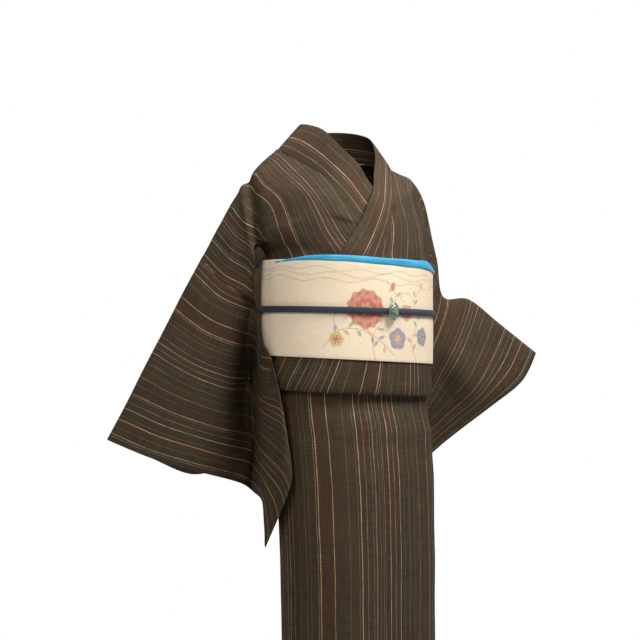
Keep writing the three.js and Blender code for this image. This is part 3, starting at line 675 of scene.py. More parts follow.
def chest_panel(table, sign):
    rows = [form_row(sign, PANEL_END, False), form_row(sign, PANEL_LAST, False)]
    rows += [curve(row, steps(CHEST_ACROSS)) for row in table]
    rows += [form_row(sign, PANEL_LAST, True), form_row(sign, PANEL_END, True)]
    grid = curve(np.asarray(rows), steps(CHEST_ALONG))
    back_half = grid[:, 0, 1] > 60
    grid[back_half, 0, 0] = sign * np.maximum(0.35, sign * grid[back_half, 0, 0])
    across = lengths(grid, 1)
    # the lines fan out a little from the shoulder, and the collar cuts across them
    follow = curve(np.asarray(LINES_LEFT if sign > 0 else LINES_RIGHT, float), steps(CHEST_ALONG))
    u = follow[:, :1] - across * follow[:, 1:2]
    if sign < 0:
        on_arm = 0.5 + 0.5 * np.tanh((across - follow[:, 2:3]) / 22)
        from_seam = SEAM_LINE + across[:, -1:] - across
        u = u + (from_seam - u) * on_arm * np.clip(follow[:, 3:], 0, 1)
    v = np.repeat(lengths(grid, 0).mean(axis=1)[:, None], CHEST_ACROSS + 1, axis=1)
    # soft unevenness that dies away at the seams and under the sash
    calm = np.clip(np.sin(np.pi * across / across[:, -1:]), 0, 1) ** 0.5
    free = np.clip((grid[:, :, 2] + 190) / 40, 0, 1)
    height = ripple(u, v, 11 if sign > 0 else 12, 90, 0.9) * calm * free
    out = facing_out(grid, False, CHEST_MIDDLE)
    if sign < 0:
        # the seam to the sleeve stays where it is, and the cloth beside it is drawn in
        height = height - armpit_fold(grid) * np.clip((across[:, -1:] - across) / 12, 0, 1)
    grid = grid + out * height[:, :, None]
    # a tongue of the panel runs on under the collar
    reach, under = (np.where(back_half, *pair)[:, None, None] for pair in ((1.7, 2.6), (1.6, 2.4)))
    edge = grid[:, :1] + (grid[:, :1] - grid[:, 1:2]) * reach - out[:, :1] * under
    at_seam = back_half & (np.abs(grid[:, 0, 0]) < 0.6)
    edge[at_seam] = grid[at_seam, :1]
    # at the nape the tongues stand up behind the collar, where the two panels meet
    nape = back_half & (np.abs(grid[:, 0, 0]) < NAPE_HALF) & (grid[:, 0, 2] > NAPE_LOW)
    edge[nape] = grid[nape, :1] + np.array([0, 0, 5]) - out[nape, :1] * 1.6
    grid = np.concatenate([edge, grid], axis=1)
    return grid, np.concatenate([u[:, :1] + 4, u], axis=1), np.concatenate([v[:, :1], v], axis=1)


def body_panel(name, table, sign, node):
    grid, u, v = chest_panel(table, sign)
    piece = cloth(name, grid, u, v, CLOTH, (KIMONO, KIMONO), middle=CHEST_MIDDLE)
    settle(piece, [node])
    # the area printed below is what the piece itself measures; the whole rectangle would be 0.186
    return grid


grid_right = body_panel("body_panel_right", RIGHT_CHEST, -1, "body_right_upper")
grid_left = body_panel("body_panel_left", LEFT_CHEST, 1, "body_left_upper")
print("panels:", round(spread_area(grid_right), 3), round(spread_area(grid_left), 3), "m2")

# %% [markdown]
# The waist fold is the extra length of the body, folded up under the sash. Its cloth comes down
# outside, turns at the bottom and goes up inside. The lines lean on the wearer's right, because
# the cloth is drawn across there.

# %% Waist fold
# columns: z, distance inside the body form
FOLD = [
    (PANEL_END - 1.4, 0), (-300, 0), (-355, 0), (-378, -0.3), (-395, -1.2), (-406, -1.5), (-413, -0.6),
    (-415.8, 0.4), (-416.7, 1.2), (-415.8, 2), (-413, 2.4), (-352, 2.4),
]
FOLD_FRONT = 84                    # the fold's front edge, in degrees past the front centre
FOLD_ACROSS = 120
FOLD_MIDDLE = (0, 0, -380)


def lean(angle, z):
    return TILT * math.sin(angle * DEG) * min(1, max(0, (PANEL_END - z) / 60))


def waist_fold(sign, node):
    profile = split_spans(FOLD, 6)
    angles = -FOLD_FRONT + (BACK_SEAM + FOLD_FRONT) * steps(FOLD_ACROSS)
    grid = np.asarray([
        [on_form(BODY_FORM, sign * a, z, inside + tucked(sign, a), lean(sign * a, z)) for a in angles]
        for z, inside in profile
    ])
    down = np.asarray([-z for z, _ in profile])
    # past the turn the cloth goes up again, so its own length goes on growing
    turn = int(np.argmax(down))
    down[turn:] = 2 * down[turn] - down[turn:]
    u = np.repeat(arc(sign * angles)[None, :] + 130, len(profile), axis=0)
    v = np.repeat(down[:, None], len(angles), axis=1)
    slant = np.clip((30 - sign * angles) / 90, 0, 1) ** 1.2
    u = u + slant[None, :] * (v - 390) * 0.5
    low = bump(grid[:, :, 2], -398, 22) * (np.arange(len(profile)) <= turn)[:, None]
    creases = np.sin((v + 0.55 * u) / 6.5) * 0.35 * bump(u, 20, 70) + ripple(u, v, 5, 60, 0.5)
    grid = grid + facing_out(grid, False, FOLD_MIDDLE) * (creases * low)[:, :, None]
    piece = cloth(node + "_cloth", grid, u, v, CLOTH, (KIMONO, KIMONO), middle=FOLD_MIDDLE)
    settle(piece, [node])


waist_fold(-1, "waist_fold_right")
waist_fold(1, "waist_fold_left")

# %% [markdown]
# The skirt hangs from inside the waist fold. Two back panels, two front panels and two narrow
# overlap panels; the left side lies over the right. Soft level creases run across it below the
# fold.

# %% Skirt
HALF_GAP = 0.1
UNDER = 2
# columns: node, first angle, last angle, depth under the top layer, seam angle, place in the width
SKIRT = [
    ("back_right_skirt", -180 + HALF_GAP, -100 - HALF_GAP, 0, -180, 0),
    ("front_right_skirt", -100 + HALF_GAP, 8.5 - HALF_GAP, UNDER, 8.5, 160),
    ("overlap_right", 8.5 + HALF_GAP, 84, UNDER, 8.5, 0),
    ("back_left_skirt", 100 + HALF_GAP, 180 - HALF_GAP, 0, 180, 0),
    ("front_left_skirt", -8.5 + HALF_GAP, 100 - HALF_GAP, 0, -8.5, 160),
    ("overlap_left", -87, -8.5 - HALF_GAP, 0, -8.5, 0),
]
FINE_LEVELS = [(-350,), (-378,), (-500,)]
COARSE_LEVELS = [(-500,), (-1340,)]
SKIRT_MIDDLE = (0, -20, -800)


def drag(angle, z):
    depth = 1.8 * math.exp(-((z + 462) / 50) ** 2)
    return depth * math.sin((z + angle * 0.35) / 12) * math.sin((angle + 100) * 0.9 * DEG)


def flare(angle, z):
    reach = min(1, max(0, (z + 378) / 16))
    return reach * 4.2 * min(1, max(0, (abs(angle) - 106) / 14))


def skirt_panel(node, first, last, depth, seam, place):
    levels = [z for z, in split_spans(FINE_LEVELS, 4) + split_spans(COARSE_LEVELS, 16)[1:]]
    count = max(12, round(abs(last - first) / 1.6))
    angles = first + (last - first) * steps(count)
    rows = []
    for z in levels:
        row = []
        for k, angle in enumerate(angles):
            under = depth * (min(1, k / count * 10) if node == "front_right_skirt" else 1)
            inward = under + drag(angle, z) - flare(angle, z)
            row.append(on_form(SKIRT_FORM, angle, z, inward, lean(angle, z) if z > -400 else 0))
        rows.append(row)
    grid = np.asarray(rows)
    u = np.repeat(np.abs(arc(angles) - arc(seam))[None, :] + place, len(levels), axis=0)
    v = np.repeat(-np.asarray(levels)[:, None], len(angles), axis=1)
    if depth == 0:
        turn = 2 * math.pi * np.asarray(angles)[None, :] / 360
        height = 0.7 * np.sin(3 * turn + v / 160) + 0.5 * np.sin(v / 70 - 5 * turn)
        height = height + ripple(v, turn * 400, 8, 120, 0.25)
        free = np.clip((v - 440) / 80, 0, 1)
        grid = grid + facing_out(grid, False, SKIRT_MIDDLE) * (height * free)[:, :, None]
    piece = cloth(node + "_cloth", grid, u, v, CLOTH, (KIMONO, LINING), middle=SKIRT_MIDDLE)
    settle(piece, [node])
    return grid


areas = {row[0]: round(spread_area(skirt_panel(*row)), 3) for row in SKIRT}
print("skirt areas:", areas)

# %% [markdown]
# The collar is a folded strip 55 mm wide round the neck. Its lines run along it. It is a little
# thicker along its middle than at its two edges, as folded cloth is.

# %% Collar
# columns: inner (neck) edge x, y, z, then seam edge x, y, z
COLLAR = [
    [[100, -84, -206], [66, -100, -236]],
    [[84, -82, -172], [45, -99, -208]], [[62, -84, -136], [30, -102, -190]],
    [[32, -79, -98], [0, -101, -165]], [[0, -68, -63], [-38, -92, -126]],
    [[-25, -67, -30], [-62, -75, -88]], [[-48, -53, -4], [-85, -36, -45]],
    [[-60, -20, 26], [-101, 0, -23]], [[-61, 22, 40], [-112, 35, -6]],
    [[-60, 56, 46], [-103, 66, -3]], [[-43, 88, 46], [-70, 100, -6]],
    [[0, 110, 43], [0, 123.6, -6.8]], [[43, 88, 43], [69, 101, -8]],
    [[61, 54, 36], [102, 56, -17]], [[56, 12, 21], [105, 20, -29]],
    [[45, -17, -7], [70, -36, -54]], [[22, -47, -45], [40, -82, -88]],
    [[2, -75, -72], [28, -93, -114]], [[-18, -92, -95], [14, -103, -141]],
    [[-40, -102, -128], [-10, -112, -185]], [[-74, -106, -170], [-28, -121.5, -214]],
    [[-98, -94.6, -208], [-44, -119.5, -240]],
]
COLLAR_WALL = 3.0
COLLAR_ACROSS = 14
COLLAR_MIDDLE = (0, 0, -100)


def collar_piece():
    rows = [[inner, [(p + q) / 2 for p, q in zip(inner, seam)], seam] for inner, seam in COLLAR]
    grid = smooth_grid(rows, steps(190), steps(COLLAR_ACROSS))
    across = lengths(grid, 1)
    t = across / across[:, -1:]
    u = t * 55 + 240
    v = np.repeat(lengths(grid, 0).mean(axis=1)[:, None], COLLAR_ACROSS + 1, axis=1)
    thick = COLLAR_WALL * (0.45 + 0.55 * np.clip(np.sin(np.pi * t), 0, 1) ** 0.45)
    height = 0.5 * np.sin(np.pi * t) + ripple(u * 2, v, 21, 110, 0.35) * np.sin(np.pi * t)
    grid = grid + facing_out(grid, False, COLLAR_MIDDLE) * height[:, :, None]
    # the collar takes the lighter copy of the cloth, with its painted light
    both = (COLLAR_CLOTH_PAINTED_LIGHTER, COLLAR_CLOTH_PAINTED_LIGHTER)
    piece = cloth("collar_strip", grid, u, v, thick[:, :, None], both, middle=COLLAR_MIDDLE)
    settle(piece, ["collar"])


collar_piece()

# %% [markdown]
# Each sleeve is one length of cloth folded on top, closed at the bottom and open at the cuff.
# The rows go once round it, from the seam at the armhole to the edge at the cuff. The lining
# shows a little at the cuff.

# %% Sleeves
# columns: across, away, up for each point, in plan axes turned by the yaw
RIGHT_SLEEVE = [
    [ # seam edge
        [-249, -60, -196], [-210, -78, -233], [-179, -72, -250], [-160, -52, -259],
        [-153, -62, -280], [-152, -66, -318], [-152, -51, -357], [-152, -22, -399],
        [-150, 0, -440], [-164, 24, -441], [-176, 0, -396], [-184, -22, -348],
        [-188, -26, -302], [-188, -24, -267], [-200, -16, -248], [-231, -34, -228],
    ],
    [ # 60 mm out
        [-277, -62, -248], [-227, -78, -273], [-184, -66, -296], [-162, -50, -306],
        [-153, -50, -318], [-143, -84, -330], [-132, -94, -351], [-133, -90, -401],
        [-138, -60, -469], [-151, -8, -465], [-160, 26, -429], [-169, 26, -384],
        [-177, 14, -345], [-185, -14, -317], [-213, -4, -303], [-247, -32, -279],
    ],
    [ # 120 mm out
        [-304, -62, -301], [-247, -76, -326], [-196, -60, -347], [-168, -10, -360],
        [-158, -4, -365], [-143, -76, -366], [-118, -112, -391], [-111, -116, -437],
        [-115, -100, -499], [-137, -66, -507], [-156, 14, -494], [-166, 38, -461],
        [-177, 40, -421], [-191, 22, -387], [-226, 2, -365], [-265, -32, -337],
    ],
    [ # 200 mm out
        [-341, -62, -372], [-277, -76, -396], [-218, -62, -421], [-176, 0, -441],
        [-161, 6, -449], [-143, -76, -450], [-108, -124, -489], [-94, -128, -521],
        [-95, -124, -541], [-118, -94, -550], [-144, -12, -545], [-159, 34, -524],
        [-174, 46, -492], [-200, 40, -465], [-245, 4, -442], [-298, -30, -412],
    ],
    [ # 270 mm out
        [-372, -62, -434], [-304, -74, -458], [-237, -62, -481], [-176, 0, -509],
        [-162, 22, -519], [-143, -80, -518], [-120, -112, -546], [-106, -124, -564],
        [-98, -128, -576], [-118, -94, -590], [-140, 0, -593], [-157, 48, -578],
        [-180, 54, -544], [-214, 36, -517], [-263, 4, -497], [-322, -30, -468],
    ],
    [ # cuff edge
        [-404, -62, -494], [-331, -72, -523], [-257, -62, -546], [-186, -5, -573],
        [-164, 24, -593], [-144, -72, -594], [-140, -84, -622], [-138, -90, -648],
        [-137, -92, -669], [-132, -67, -651], [-132, 22, -634], [-149, 60, -613],
        [-173, 60, -587], [-213, 32, -557], [-272, -4, -558], [-336, -34, -527],
    ],
]
LEFT_SLEEVE = [
    [ # seam edge
        [167, 200, -184], [153, 162, -225], [139, 142, -256], [124, 132, -286],
        [109, 130, -333], [95, 130, -384], [77, 132, -448], [62, 140, -498],
        [50, 146, -546], [64, 170, -501], [79, 178, -452], [97, 185, -388],
        [111, 188, -337], [126, 187, -290], [141, 188, -260], [155, 192, -228],
    ],
    [ # 90 mm out
        [178, 196, -250], [166, 165, -278], [154, 150, -326], [141, 146, -370],
        [127, 146, -418], [110, 146, -465], [92, 149, -513], [74, 157, -566],
        [55, 165, -615], [75, 187, -569], [94, 195, -517], [112, 201, -469],
        [129, 204, -422], [143, 201, -374], [156, 196, -330], [168, 195, -281],
    ],
    [ # 170 mm out
        [227, 205, -255], [206, 180, -304], [186, 158, -352], [166, 160, -400],
        [142, 160, -444], [114, 158, -492], [87, 156, -536], [59, 158, -584],
        [33, 163, -633], [60, 188, -587], [89, 202, -540], [116, 213, -496],
        [144, 218, -448], [168, 215, -404], [188, 204, -356], [208, 210, -307],
    ],
    [ # 250 mm out
        [285, 203, -301], [259, 184, -353], [229, 162, -411], [193, 170, -449],
        [156, 172, -482], [115, 170, -526], [81, 162, -570], [48, 159, -617],
        [18, 158, -662], [49, 189, -620], [83, 208, -574], [117, 225, -530],
        [158, 230, -486], [195, 225, -453], [231, 208, -415], [260, 214, -356],
    ],
    [ # cuff edge
        [352, 200, -355], [325, 192, -407], [265, 188, -455], [205, 184, -500],
        [164, 180, -533], [119, 174, -575], [80, 170, -615], [44, 166, -659],
        [7, 162, -703], [46, 196, -662], [82, 216, -619], [121, 229, -579],
        [166, 238, -537], [207, 239, -504], [267, 234, -459], [327, 222, -410],
    ],
]
RIGHT_OUT = [0, 60, 120, 200, 270, 340]
LEFT_OUT = [0, 90, 170, 250, 340]


def turned(points):
    p = np.asarray(points, float)
    c, s = math.cos(YAW), math.sin(YAW)
    return np.stack([p[..., 0] * c + p[..., 1] * s, p[..., 1] * c - p[..., 0] * s, p[..., 2]], axis=-1)


# the deep valley between the arm and the flap that falls in front, on the right sleeve
# columns: down, across, depth
VALLEY = [(215, -158, 0), (270, -162, 16), (330, -168, 24), (430, -173, 24), (500, -174, 18), (560, -172, 4)]


def sunk(grid, apart):
    """The front layer drawn in along the valley, never as far as the layer behind it."""
    aside, away, depth = beside(grid, VALLEY)
    behind = np.roll(away[:, ::-1], 1, axis=1)
    amount = depth * np.where(aside < 0, bump(aside, 0, 19), bump(aside, 0, 11))
    amount = np.minimum(amount, 0.35 * apart) * (away < behind)
    print("valley up to", round(float(amount.max()), 1), "mm deep")
    return grid + amount[:, :, None] * AWAY


def parted(grid, gap=3.4):
    """The front layer moved forward where it would touch the layer behind it."""
    across, away = in_plan(grid)
    rows, count = across.shape
    first, second = slice(1, count // 2), slice(count // 2 + 1, count)
    if away[:, first].mean() > away[:, second].mean():
        first, second = second, first
    tree = KDTree(rows * (count // 2 - 1))
    for i, (x, z) in enumerate(zip(across[:, second].ravel(), grid[:, second, 2].ravel())):
        tree.insert((x, z, 0), i)
    tree.balance()
    found = [tree.find((x, z, 0))[1] for x, z in zip(across[:, first].ravel(), grid[:, first, 2].ravel())]
    room = away[:, second].ravel()[found] - away[:, first].ravel()
    need = np.clip(gap - room, 0, 12).reshape(rows, -1)
    t = np.linspace(0, 1, need.shape[1])
    need = need * np.clip(np.minimum(t, 1 - t) / 0.04, 0, 1)[None, :]
    for _ in range(3):
        p = np.pad(need, 1, mode="edge")
        need = (p[1:-1, 1:-1] * 2 + p[:-2, 1:-1] + p[2:, 1:-1] + p[1:-1, :-2] + p[1:-1, 2:]) / 6
    grid = grid.copy()
    grid[:, first] -= need[:, :, None] * AWAY
    print("front layer moved up to", round(float(need.max()), 1), "mm forward")
    return grid


def sleeve(side, table, out, seed, valley=False, along=90, round_steps=300):
    name = f"sleeve_{side}_cloth"
    grid = turned(smooth_grid(table, steps(along), steps(round_steps, True), True))
    far = curve(np.asarray(out, float)[:, None], steps(along))[:, 0]
    ring = lengths(grid, 1, closed=True)
    whole = ring[:, -1:]
    v = ring / whole * whole.mean()
    # the lines keep their distance from the seam, and run level with the edge of the cuff
    out_from_seam = lengths(grid, 0)
    out_from_seam = np.concatenate([out_from_seam, out_from_seam[:, :1]], axis=1)
    towards_cuff = (far / far[-1])[:, None]
    u = out_from_seam * (1 - towards_cuff) + far[:, None] * towards_cuff
    # where the two layers hang close together they follow each other
    apart = np.linalg.norm(grid - np.roll(grid[:, ::-1], 1, axis=1), axis=2)
    if valley:
        grid = parted(sunk(grid, apart))
    height = ripple(u, v, seed, 130, 0.8)[:, :-1]
    height = height * np.clip(far / 40, 0, 1)[:, None] * np.clip(apart / 30, 0, 1)
    # the two folds stay crisp
    t = np.linspace(0, 1, round_steps + 1)[:-1][None, :]
    crisp = 1 - bump(t, 0, 0.02) - bump(t, 1, 0.02) - bump(t, 0.5, 0.02)
    grid = grid + facing_out(grid, True, None) * (height * crisp)[:, :, None]
    # the seam edge runs on a little way inside the body panel
    sewn = np.clip((grid[:1, :, 2:] + 262) / 15, 0, 1)
    tongue = grid[:1] + (grid[:1] - grid[2:3]) * (0.04 + 1.4 * sewn)
    middle = grid[:1].mean(axis=1, keepdims=True)
    tongue = tongue + (middle - tongue) * 0.03 * sewn
    grid = np.concatenate([tongue, grid])
    u = np.concatenate([u[:1] - 9, u])
    v = np.concatenate([v[:1], v])
    piece = cloth(name, grid, u + 20, v, CLOTH, (KIMONO, LINING), closed=True)
    settle(piece, [f"sleeve_{side}_front", f"sleeve_{side}_back"])
    print(name, "area", round(spread_area(grid, True), 3), "m2, round", round(float(whole.mean())), "mm")


sleeve("right", RIGHT_SLEEVE, RIGHT_OUT, 31, valley=True)
# the area printed for the left sleeve is what it measures here, not its cut (0.34 x 0.88): it has only about
# half the cloth that it should have, and is still to be made again from the cut
sleeve("left", LEFT_SLEEVE, LEFT_OUT, 32)

# %% [markdown]
# The sash is stiff cloth in cream. Its front carries a design dyed on before weaving: blossoms,
# leaves and tendrils, in colours that are dim because they lie in the threads. The design is
# painted here as colours on a fine grid of points, in millimetres round the sash and up it.

# %% Sash cloth
DYE_RED = "#b05c4d"
DYE_BLUE = "#6b7896"
DYE_OCHRE = "#cda561"
DYE_OLIVE = "#8d8a5f"
DYE_ROSE = "#c58a76"
DYE_LINE = "#6e5f58"
MIXED = [DYE_OLIVE, DYE_BLUE, DYE_ROSE]
PLAIN = [DYE_OLIVE, DYE_OCHRE, DYE_OLIVE]


def sash_cloth(name):
    s = Surface(name)
    u, v = s.cloth_place()
    place = s.vector(u, v)
    soft = s.noise(place, 11.0, 3.0)
    shade = s.mix(s.range(soft, 0.3, 0.7, 0.0, 1.0), colour("#dac5a8"), colour("#e1cfb4"))
    dye = s.add("Attribute", {"attribute_name": "dye"})
    warp = s.streaks(u, v, 60.0, 900.0, 3.0, 0.6)
    weft = s.streaks(u, v, 1100.0, 50.0, 3.0, 0.6)
    thread = s.math("ADD", warp, weft)
    # the dye takes unevenly from thread to thread
    taken = s.math("MULTIPLY", dye.outputs["Alpha"], s.range(thread, 0.75, 1.2, 0.86, 1.1))
    shade = s.mix(taken, shade, dye.outputs["Color"])
    light = s.range(thread, 0.7, 1.3, 0.9, 1.07)
    shade = s.mix(1.0, shade, s.vector(light, light, light), "MULTIPLY")
    height = s.math("ADD", s.weave(u, v, 0.0008, 0.0008, 0.3), thread)
    return s.finish(shade, s.range(thread, 0.7, 1.3, 0.75, 0.6), height, 0.0003,
                    Specular_IOR_Level=0.2)


SASH = sash_cloth("cream sash cloth")


class Dye:
    """Colours laid one over another on a grid of places x, y in millimetres."""

    def __init__(self, x, y):
        self.x = x
        self.y = y
        self.ink = np.zeros(x.shape + (3,))
        self.taken = np.zeros(x.shape)

    def lay(self, hexed, cover, strength=0.85):
        share = np.clip(cover, 0, 1) * strength
        ink = np.asarray(colour(hexed)[:3])
        total = share + self.taken * (1 - share)
        mixed = ink * share[..., None] + self.ink * (self.taken * (1 - share))[..., None]
        self.ink = mixed / np.maximum(total, 1e-6)[..., None]
        self.taken = total

    def values(self):
        return np.concatenate([self.ink, self.taken[..., None]], axis=-1).reshape(-1, 4)

    def petal(self, hexed, x, y, turn, long, wide, strength=0.85, blunt=1.0):
        """A petal or leaf that starts at x, y and points towards turn degrees."""
        c, s = math.cos(turn * DEG), math.sin(turn * DEG)
        along = ((self.x - x) * c + (self.y - y) * s) / long
        aside = ((self.y - y) * c - (self.x - x) * s) / wide
        t = np.clip(along, 0, 1)
        edge = np.sin(np.pi * t ** blunt) * 0.5
        self.lay(hexed, (edge - np.abs(aside)) * wide * 1.1 * ((along > 0) & (along < 1)), strength)

    def disc(self, hexed, x, y, radius, strength=0.85):
        far = np.hypot(self.x - x, self.y - y)
        self.lay(hexed, radius - far + 0.5, strength)

    def ring(self, hexed, x, y, radius, wide, strength=0.85):
        far = np.hypot(self.x - x, self.y - y)
        self.lay(hexed, wide / 2 - np.abs(far - radius) + 0.4, strength)

    def line(self, hexed, points, wide=0.9, strength=0.7):
        route = curve(points, steps(60))
        near = np.full(self.x.shape, 1e9)
        for a, b in zip(route[:-1], route[1:]):
            d = b - a
            t = ((self.x - a[0]) * d[0] + (self.y - a[1]) * d[1]) / max(float(d @ d), 1e-9)
            t = np.clip(t, 0, 1)
            near = np.minimum(near, np.hypot(self.x - a[0] - t * d[0], self.y - a[1] - t * d[1]))
        self.lay(hexed, wide / 2 - near + 0.45, strength)

    def blossom(self, petals, x, y, size, outer, inner, heart, turn=0.0):
        for k in range(petals):
            self.petal(outer, x, y, turn + k * 360 / petals, size, size * 0.95, 0.8, 1.6)
        for k in range(petals):
            self.petal(inner, x, y, turn + k * 360 / petals, size * 0.68, size * 0.36, 0.7, 1.5)
        self.disc(heart, x, y, size * 0.2, 0.9)
        self.ring(DYE_LINE, x, y, size * 0.2, 0.7, 0.5)

    def bloom(self, x, y, sizes):
        """The large bloom, in three rounds of petals."""
        for petals, size, shade in zip((11, 9, 8), sizes, (DYE_RED, DYE_ROSE, DYE_RED)):
            for k in range(petals):
                self.petal(shade, x, y, k * 360 / petals + size, size, size * 0.72, 0.72, 1.7)

    def sprig(self, points, leaves, size, shades):
        """A stem with leaves on both sides in turn."""
        self.line(DYE_LINE, points, 0.9, 0.75)
        route = curve(points, steps(40))
        for k in range(leaves):
            i = 5 + int(k * 32 / leaves)
            ahead = route[i + 1] - route[i]
            turn = math.degrees(math.atan2(ahead[1], ahead[0]))
            side = 52 if k % 2 else -52
            self.petal(shades[k % len(shades)], *route[i], turn + side, size, size * 0.42, 0.7, 1.15)


def design(x, y):
    """x runs from the front centre towards the wearer's left, y from the middle of the sash up."""
    d = Dye(x, y)
    for k, (level, sway, wave) in enumerate([(66, 3.0, 71), (58, 4.2, 96), (49, 3.4, 83)]):
        route = level + sway * np.sin(x / wave * 2 * math.pi + k * 1.9) + 1.5 * np.sin(x / 31 + k)
        d.lay(DYE_LINE, 0.8 - np.abs(y - route) + 0.2, 0.5)
    d.sprig([(-118, -62), (-92, -34), (-58, -30), (-22, -46), (8, -70)], 9, 15, MIXED)
    d.sprig([(-30, -78), (-34, -38), (-6, -4), (10, 30), (-8, 52)], 8, 15, PLAIN)
    d.sprig([(58, -76), (46, -44), (62, -12), (52, 20), (70, 44)], 8, 14, [DYE_BLUE, DYE_OLIVE, DYE_ROSE])
    d.line(DYE_LINE, [(52, 20), (38, 34), (24, 32), (22, 22), (31, 20)], 0.9, 0.7)
    d.line(DYE_LINE, [(-92, -34), (-100, -14), (-88, 0), (-78, -8), (-84, -16)], 0.9, 0.7)
    d.bloom(-46, 4, (34, 27, 20))
    for k in range(6):
        d.petal(DYE_OCHRE, -46, 4, k * 60 + 12, 12, 7, 0.85, 1.5)
    d.disc(DYE_BLUE, -46, 4, 4.2, 0.8)
    d.blossom(5, 14, -42, 19, DYE_BLUE, DYE_ROSE, DYE_OCHRE, 18)
    d.blossom(5, 34, 2, 15, DYE_ROSE, DYE_RED, DYE_BLUE, 50)
    d.blossom(5, 76, -36, 17, DYE_BLUE, DYE_OLIVE, DYE_RED, 4)
    d.blossom(6, -96, -48, 13, DYE_OCHRE, DYE_RED, DYE_BLUE, 10)
    d.petal(DYE_RED, 2, 36, 74, 17, 10, 0.75, 0.8)
    d.petal(DYE_OCHRE, 70, 44, 62, 14, 8, 0.75, 0.8)
    return d.values()


def paint(piece, values):
    """Rows of red, green, blue and strength for the outer side's points; the inner side stays plain."""
    layer = piece.data.color_attributes.new("dye", "FLOAT_COLOR", "POINT")
    layer.data.foreach_set("color", np.concatenate([values, np.zeros_like(values)]).ravel())


# %% Sash band
BAND_TALL = SASH_TOP - SASH_BOTTOM
CORD_Z = -279
DYED_TO = 125                      # the design of the front stops at this many degrees


def sash_band():
    angles = np.concatenate([np.arange(-130, 60, 0.42), np.arange(60, 230, 3.0)])
    levels = np.linspace(0, BAND_TALL, 112)
    edge = np.minimum(levels, BAND_TALL - levels)
    inside = SASH_WALL / 2 + 0.7 * np.exp(-edge / 1.8)
    ring = arc_table(SASH_A, SASH_B)
    x = np.interp((angles + 180) % 360 - 180, ARC_ANGLES, ring)
    whole = ring[-1] - ring[0]
    x = np.where(angles > 180, x + whole, x)
    level, turn = np.meshgrid(levels, angles * DEG, indexing="ij")
    across = np.repeat(x[None, :], len(levels), axis=0)
    # a soft upright crease on the wearer's right, and shallow hollows elsewhere
    fold = -1.5 * bump(angles, -93, 3.5) + 0.9 * bump(angles, -84, 5)
    hollow = ripple(across, level, 41, 150, 0.55) + fold[None, :] * (0.5 + 0.5 * level / BAND_TALL)
    # the cord presses the sash in a little
    pressed = -0.5 * bump(level, CORD_Z - SASH_BOTTOM, 7)
    out = np.clip(-inside[:, None] + hollow * 0.5 + pressed, -2.6, 1.6)
    points = np.stack([
        (SASH_A + out) * np.sin(turn), -(SASH_B + out) * np.cos(turn),
        SASH_BOTTOM + level - TILT * np.sin(turn),
    ], axis=-1)
    v = np.concatenate([level, level[:, :1]], axis=1)
    u = np.concatenate([across, across[:, :1] + whole], axis=1)
    piece = cloth("sash_band_cloth", points, u, v, SASH_WALL * 0.8, (SASH, SASH), closed=True)
    dye = design(across, level - BAND_TALL / 2)
    dye[np.tile(angles > DYED_TO, len(levels))] = 0
    paint(piece, dye)
    settle(piece, ["sash_band"])


sash_band()

# %% [markdown]
# On the back the sash makes a roll, with the tail hanging from inside it and the hand end lying
# level through it. The same cream cloth is folded double at its edges.

# %% Sash roll, tail and hand end
DRUM_WIDTH = 296
OUTER_FACE = 185                   # the design lies on what is this far back and further
# columns: y, z from the inner layer round the bottom, up the outside and over the top
DRUM_PROFILE = [
    (154.4, -300), (153.2, -345), (154.4, -384), (162, -401), (178, -407), (196, -402), (208, -385),
    (213, -340), (214, -280), (213, -225), (209, -170), (197, -140), (178, -127), (158, -128),
    (144, -140), (137, -165), (134.5, -195),
]
TAIL_PROFILE = [(151.4, -301), (150.2, -345), (151, -384), (151, -410), (150, -484)]
HAND_PROFILE = [(147, -230), (147, -280), (147, -330), (147, -376)]


def back_design(x, y):
    """The same kind of blossoms on the roll, x across it and y down its outer face from the top."""
    d = Dye(x, y)
    d.sprig([(-96, 250), (-70, 205), (-24, 190), (20, 206), (64, 188)], 9, 17, MIXED)
    d.sprig([(84, 260), (70, 214), (88, 170), (60, 136), (74, 108)], 8, 17, PLAIN)
    d.bloom(-14, 168, (44, 35, 26))
    d.disc(DYE_OCHRE, -14, 168, 6, 0.8)
    d.blossom(5, 62, 214, 24, DYE_BLUE, DYE_ROSE, DYE_OCHRE, 18)
    d.blossom(5, -86, 226, 22, DYE_ROSE, DYE_RED, DYE_BLUE, 50)
    d.blossom(5, 78, 122, 19, DYE_BLUE, DYE_OLIVE, DYE_RED, 4)
    return d.values()


def back_piece(name, profile, width, along, across, node, seed, hollow):
    line = curve(np.asarray(profile, float), steps(along))
    x = (steps(across) - 0.5) * width
    down = np.concatenate([[0], np.cumsum(np.linalg.norm(np.diff(line, axis=0), axis=1))])
    u = np.repeat(x[None, :], along + 1, axis=0)
    v = np.repeat(down[:, None], across + 1, axis=1)
    grid = np.stack([u, *(np.repeat(line[:, k:k + 1], across + 1, axis=1) for k in (0, 1))], axis=-1)
    middle = (0, line[:, 0].mean(), line[:, 1].mean())
    edge = np.minimum(u + width / 2, width / 2 - u)
    height = ripple(u, v, seed, 170, hollow) - 0.8 * np.exp(-edge / 1.7)
    grid = grid + facing_out(grid, False, middle) * height[:, :, None]
    piece = cloth(name, grid, u, v, SASH_WALL * 0.85, (SASH, SASH), middle=middle)
    dye = np.zeros((grid.shape[0] * grid.shape[1], 4))
    if node == "sash_drum":
        dye = back_design(u, v[-1:] - v - 40)
        dye[(grid[:, :, 1] < OUTER_FACE).ravel()] = 0
    paint(piece, dye)
    settle(piece, [node])
    print(name, "area", round(spread_area(grid), 3), "m2, long", round(float(down[-1])), "mm")


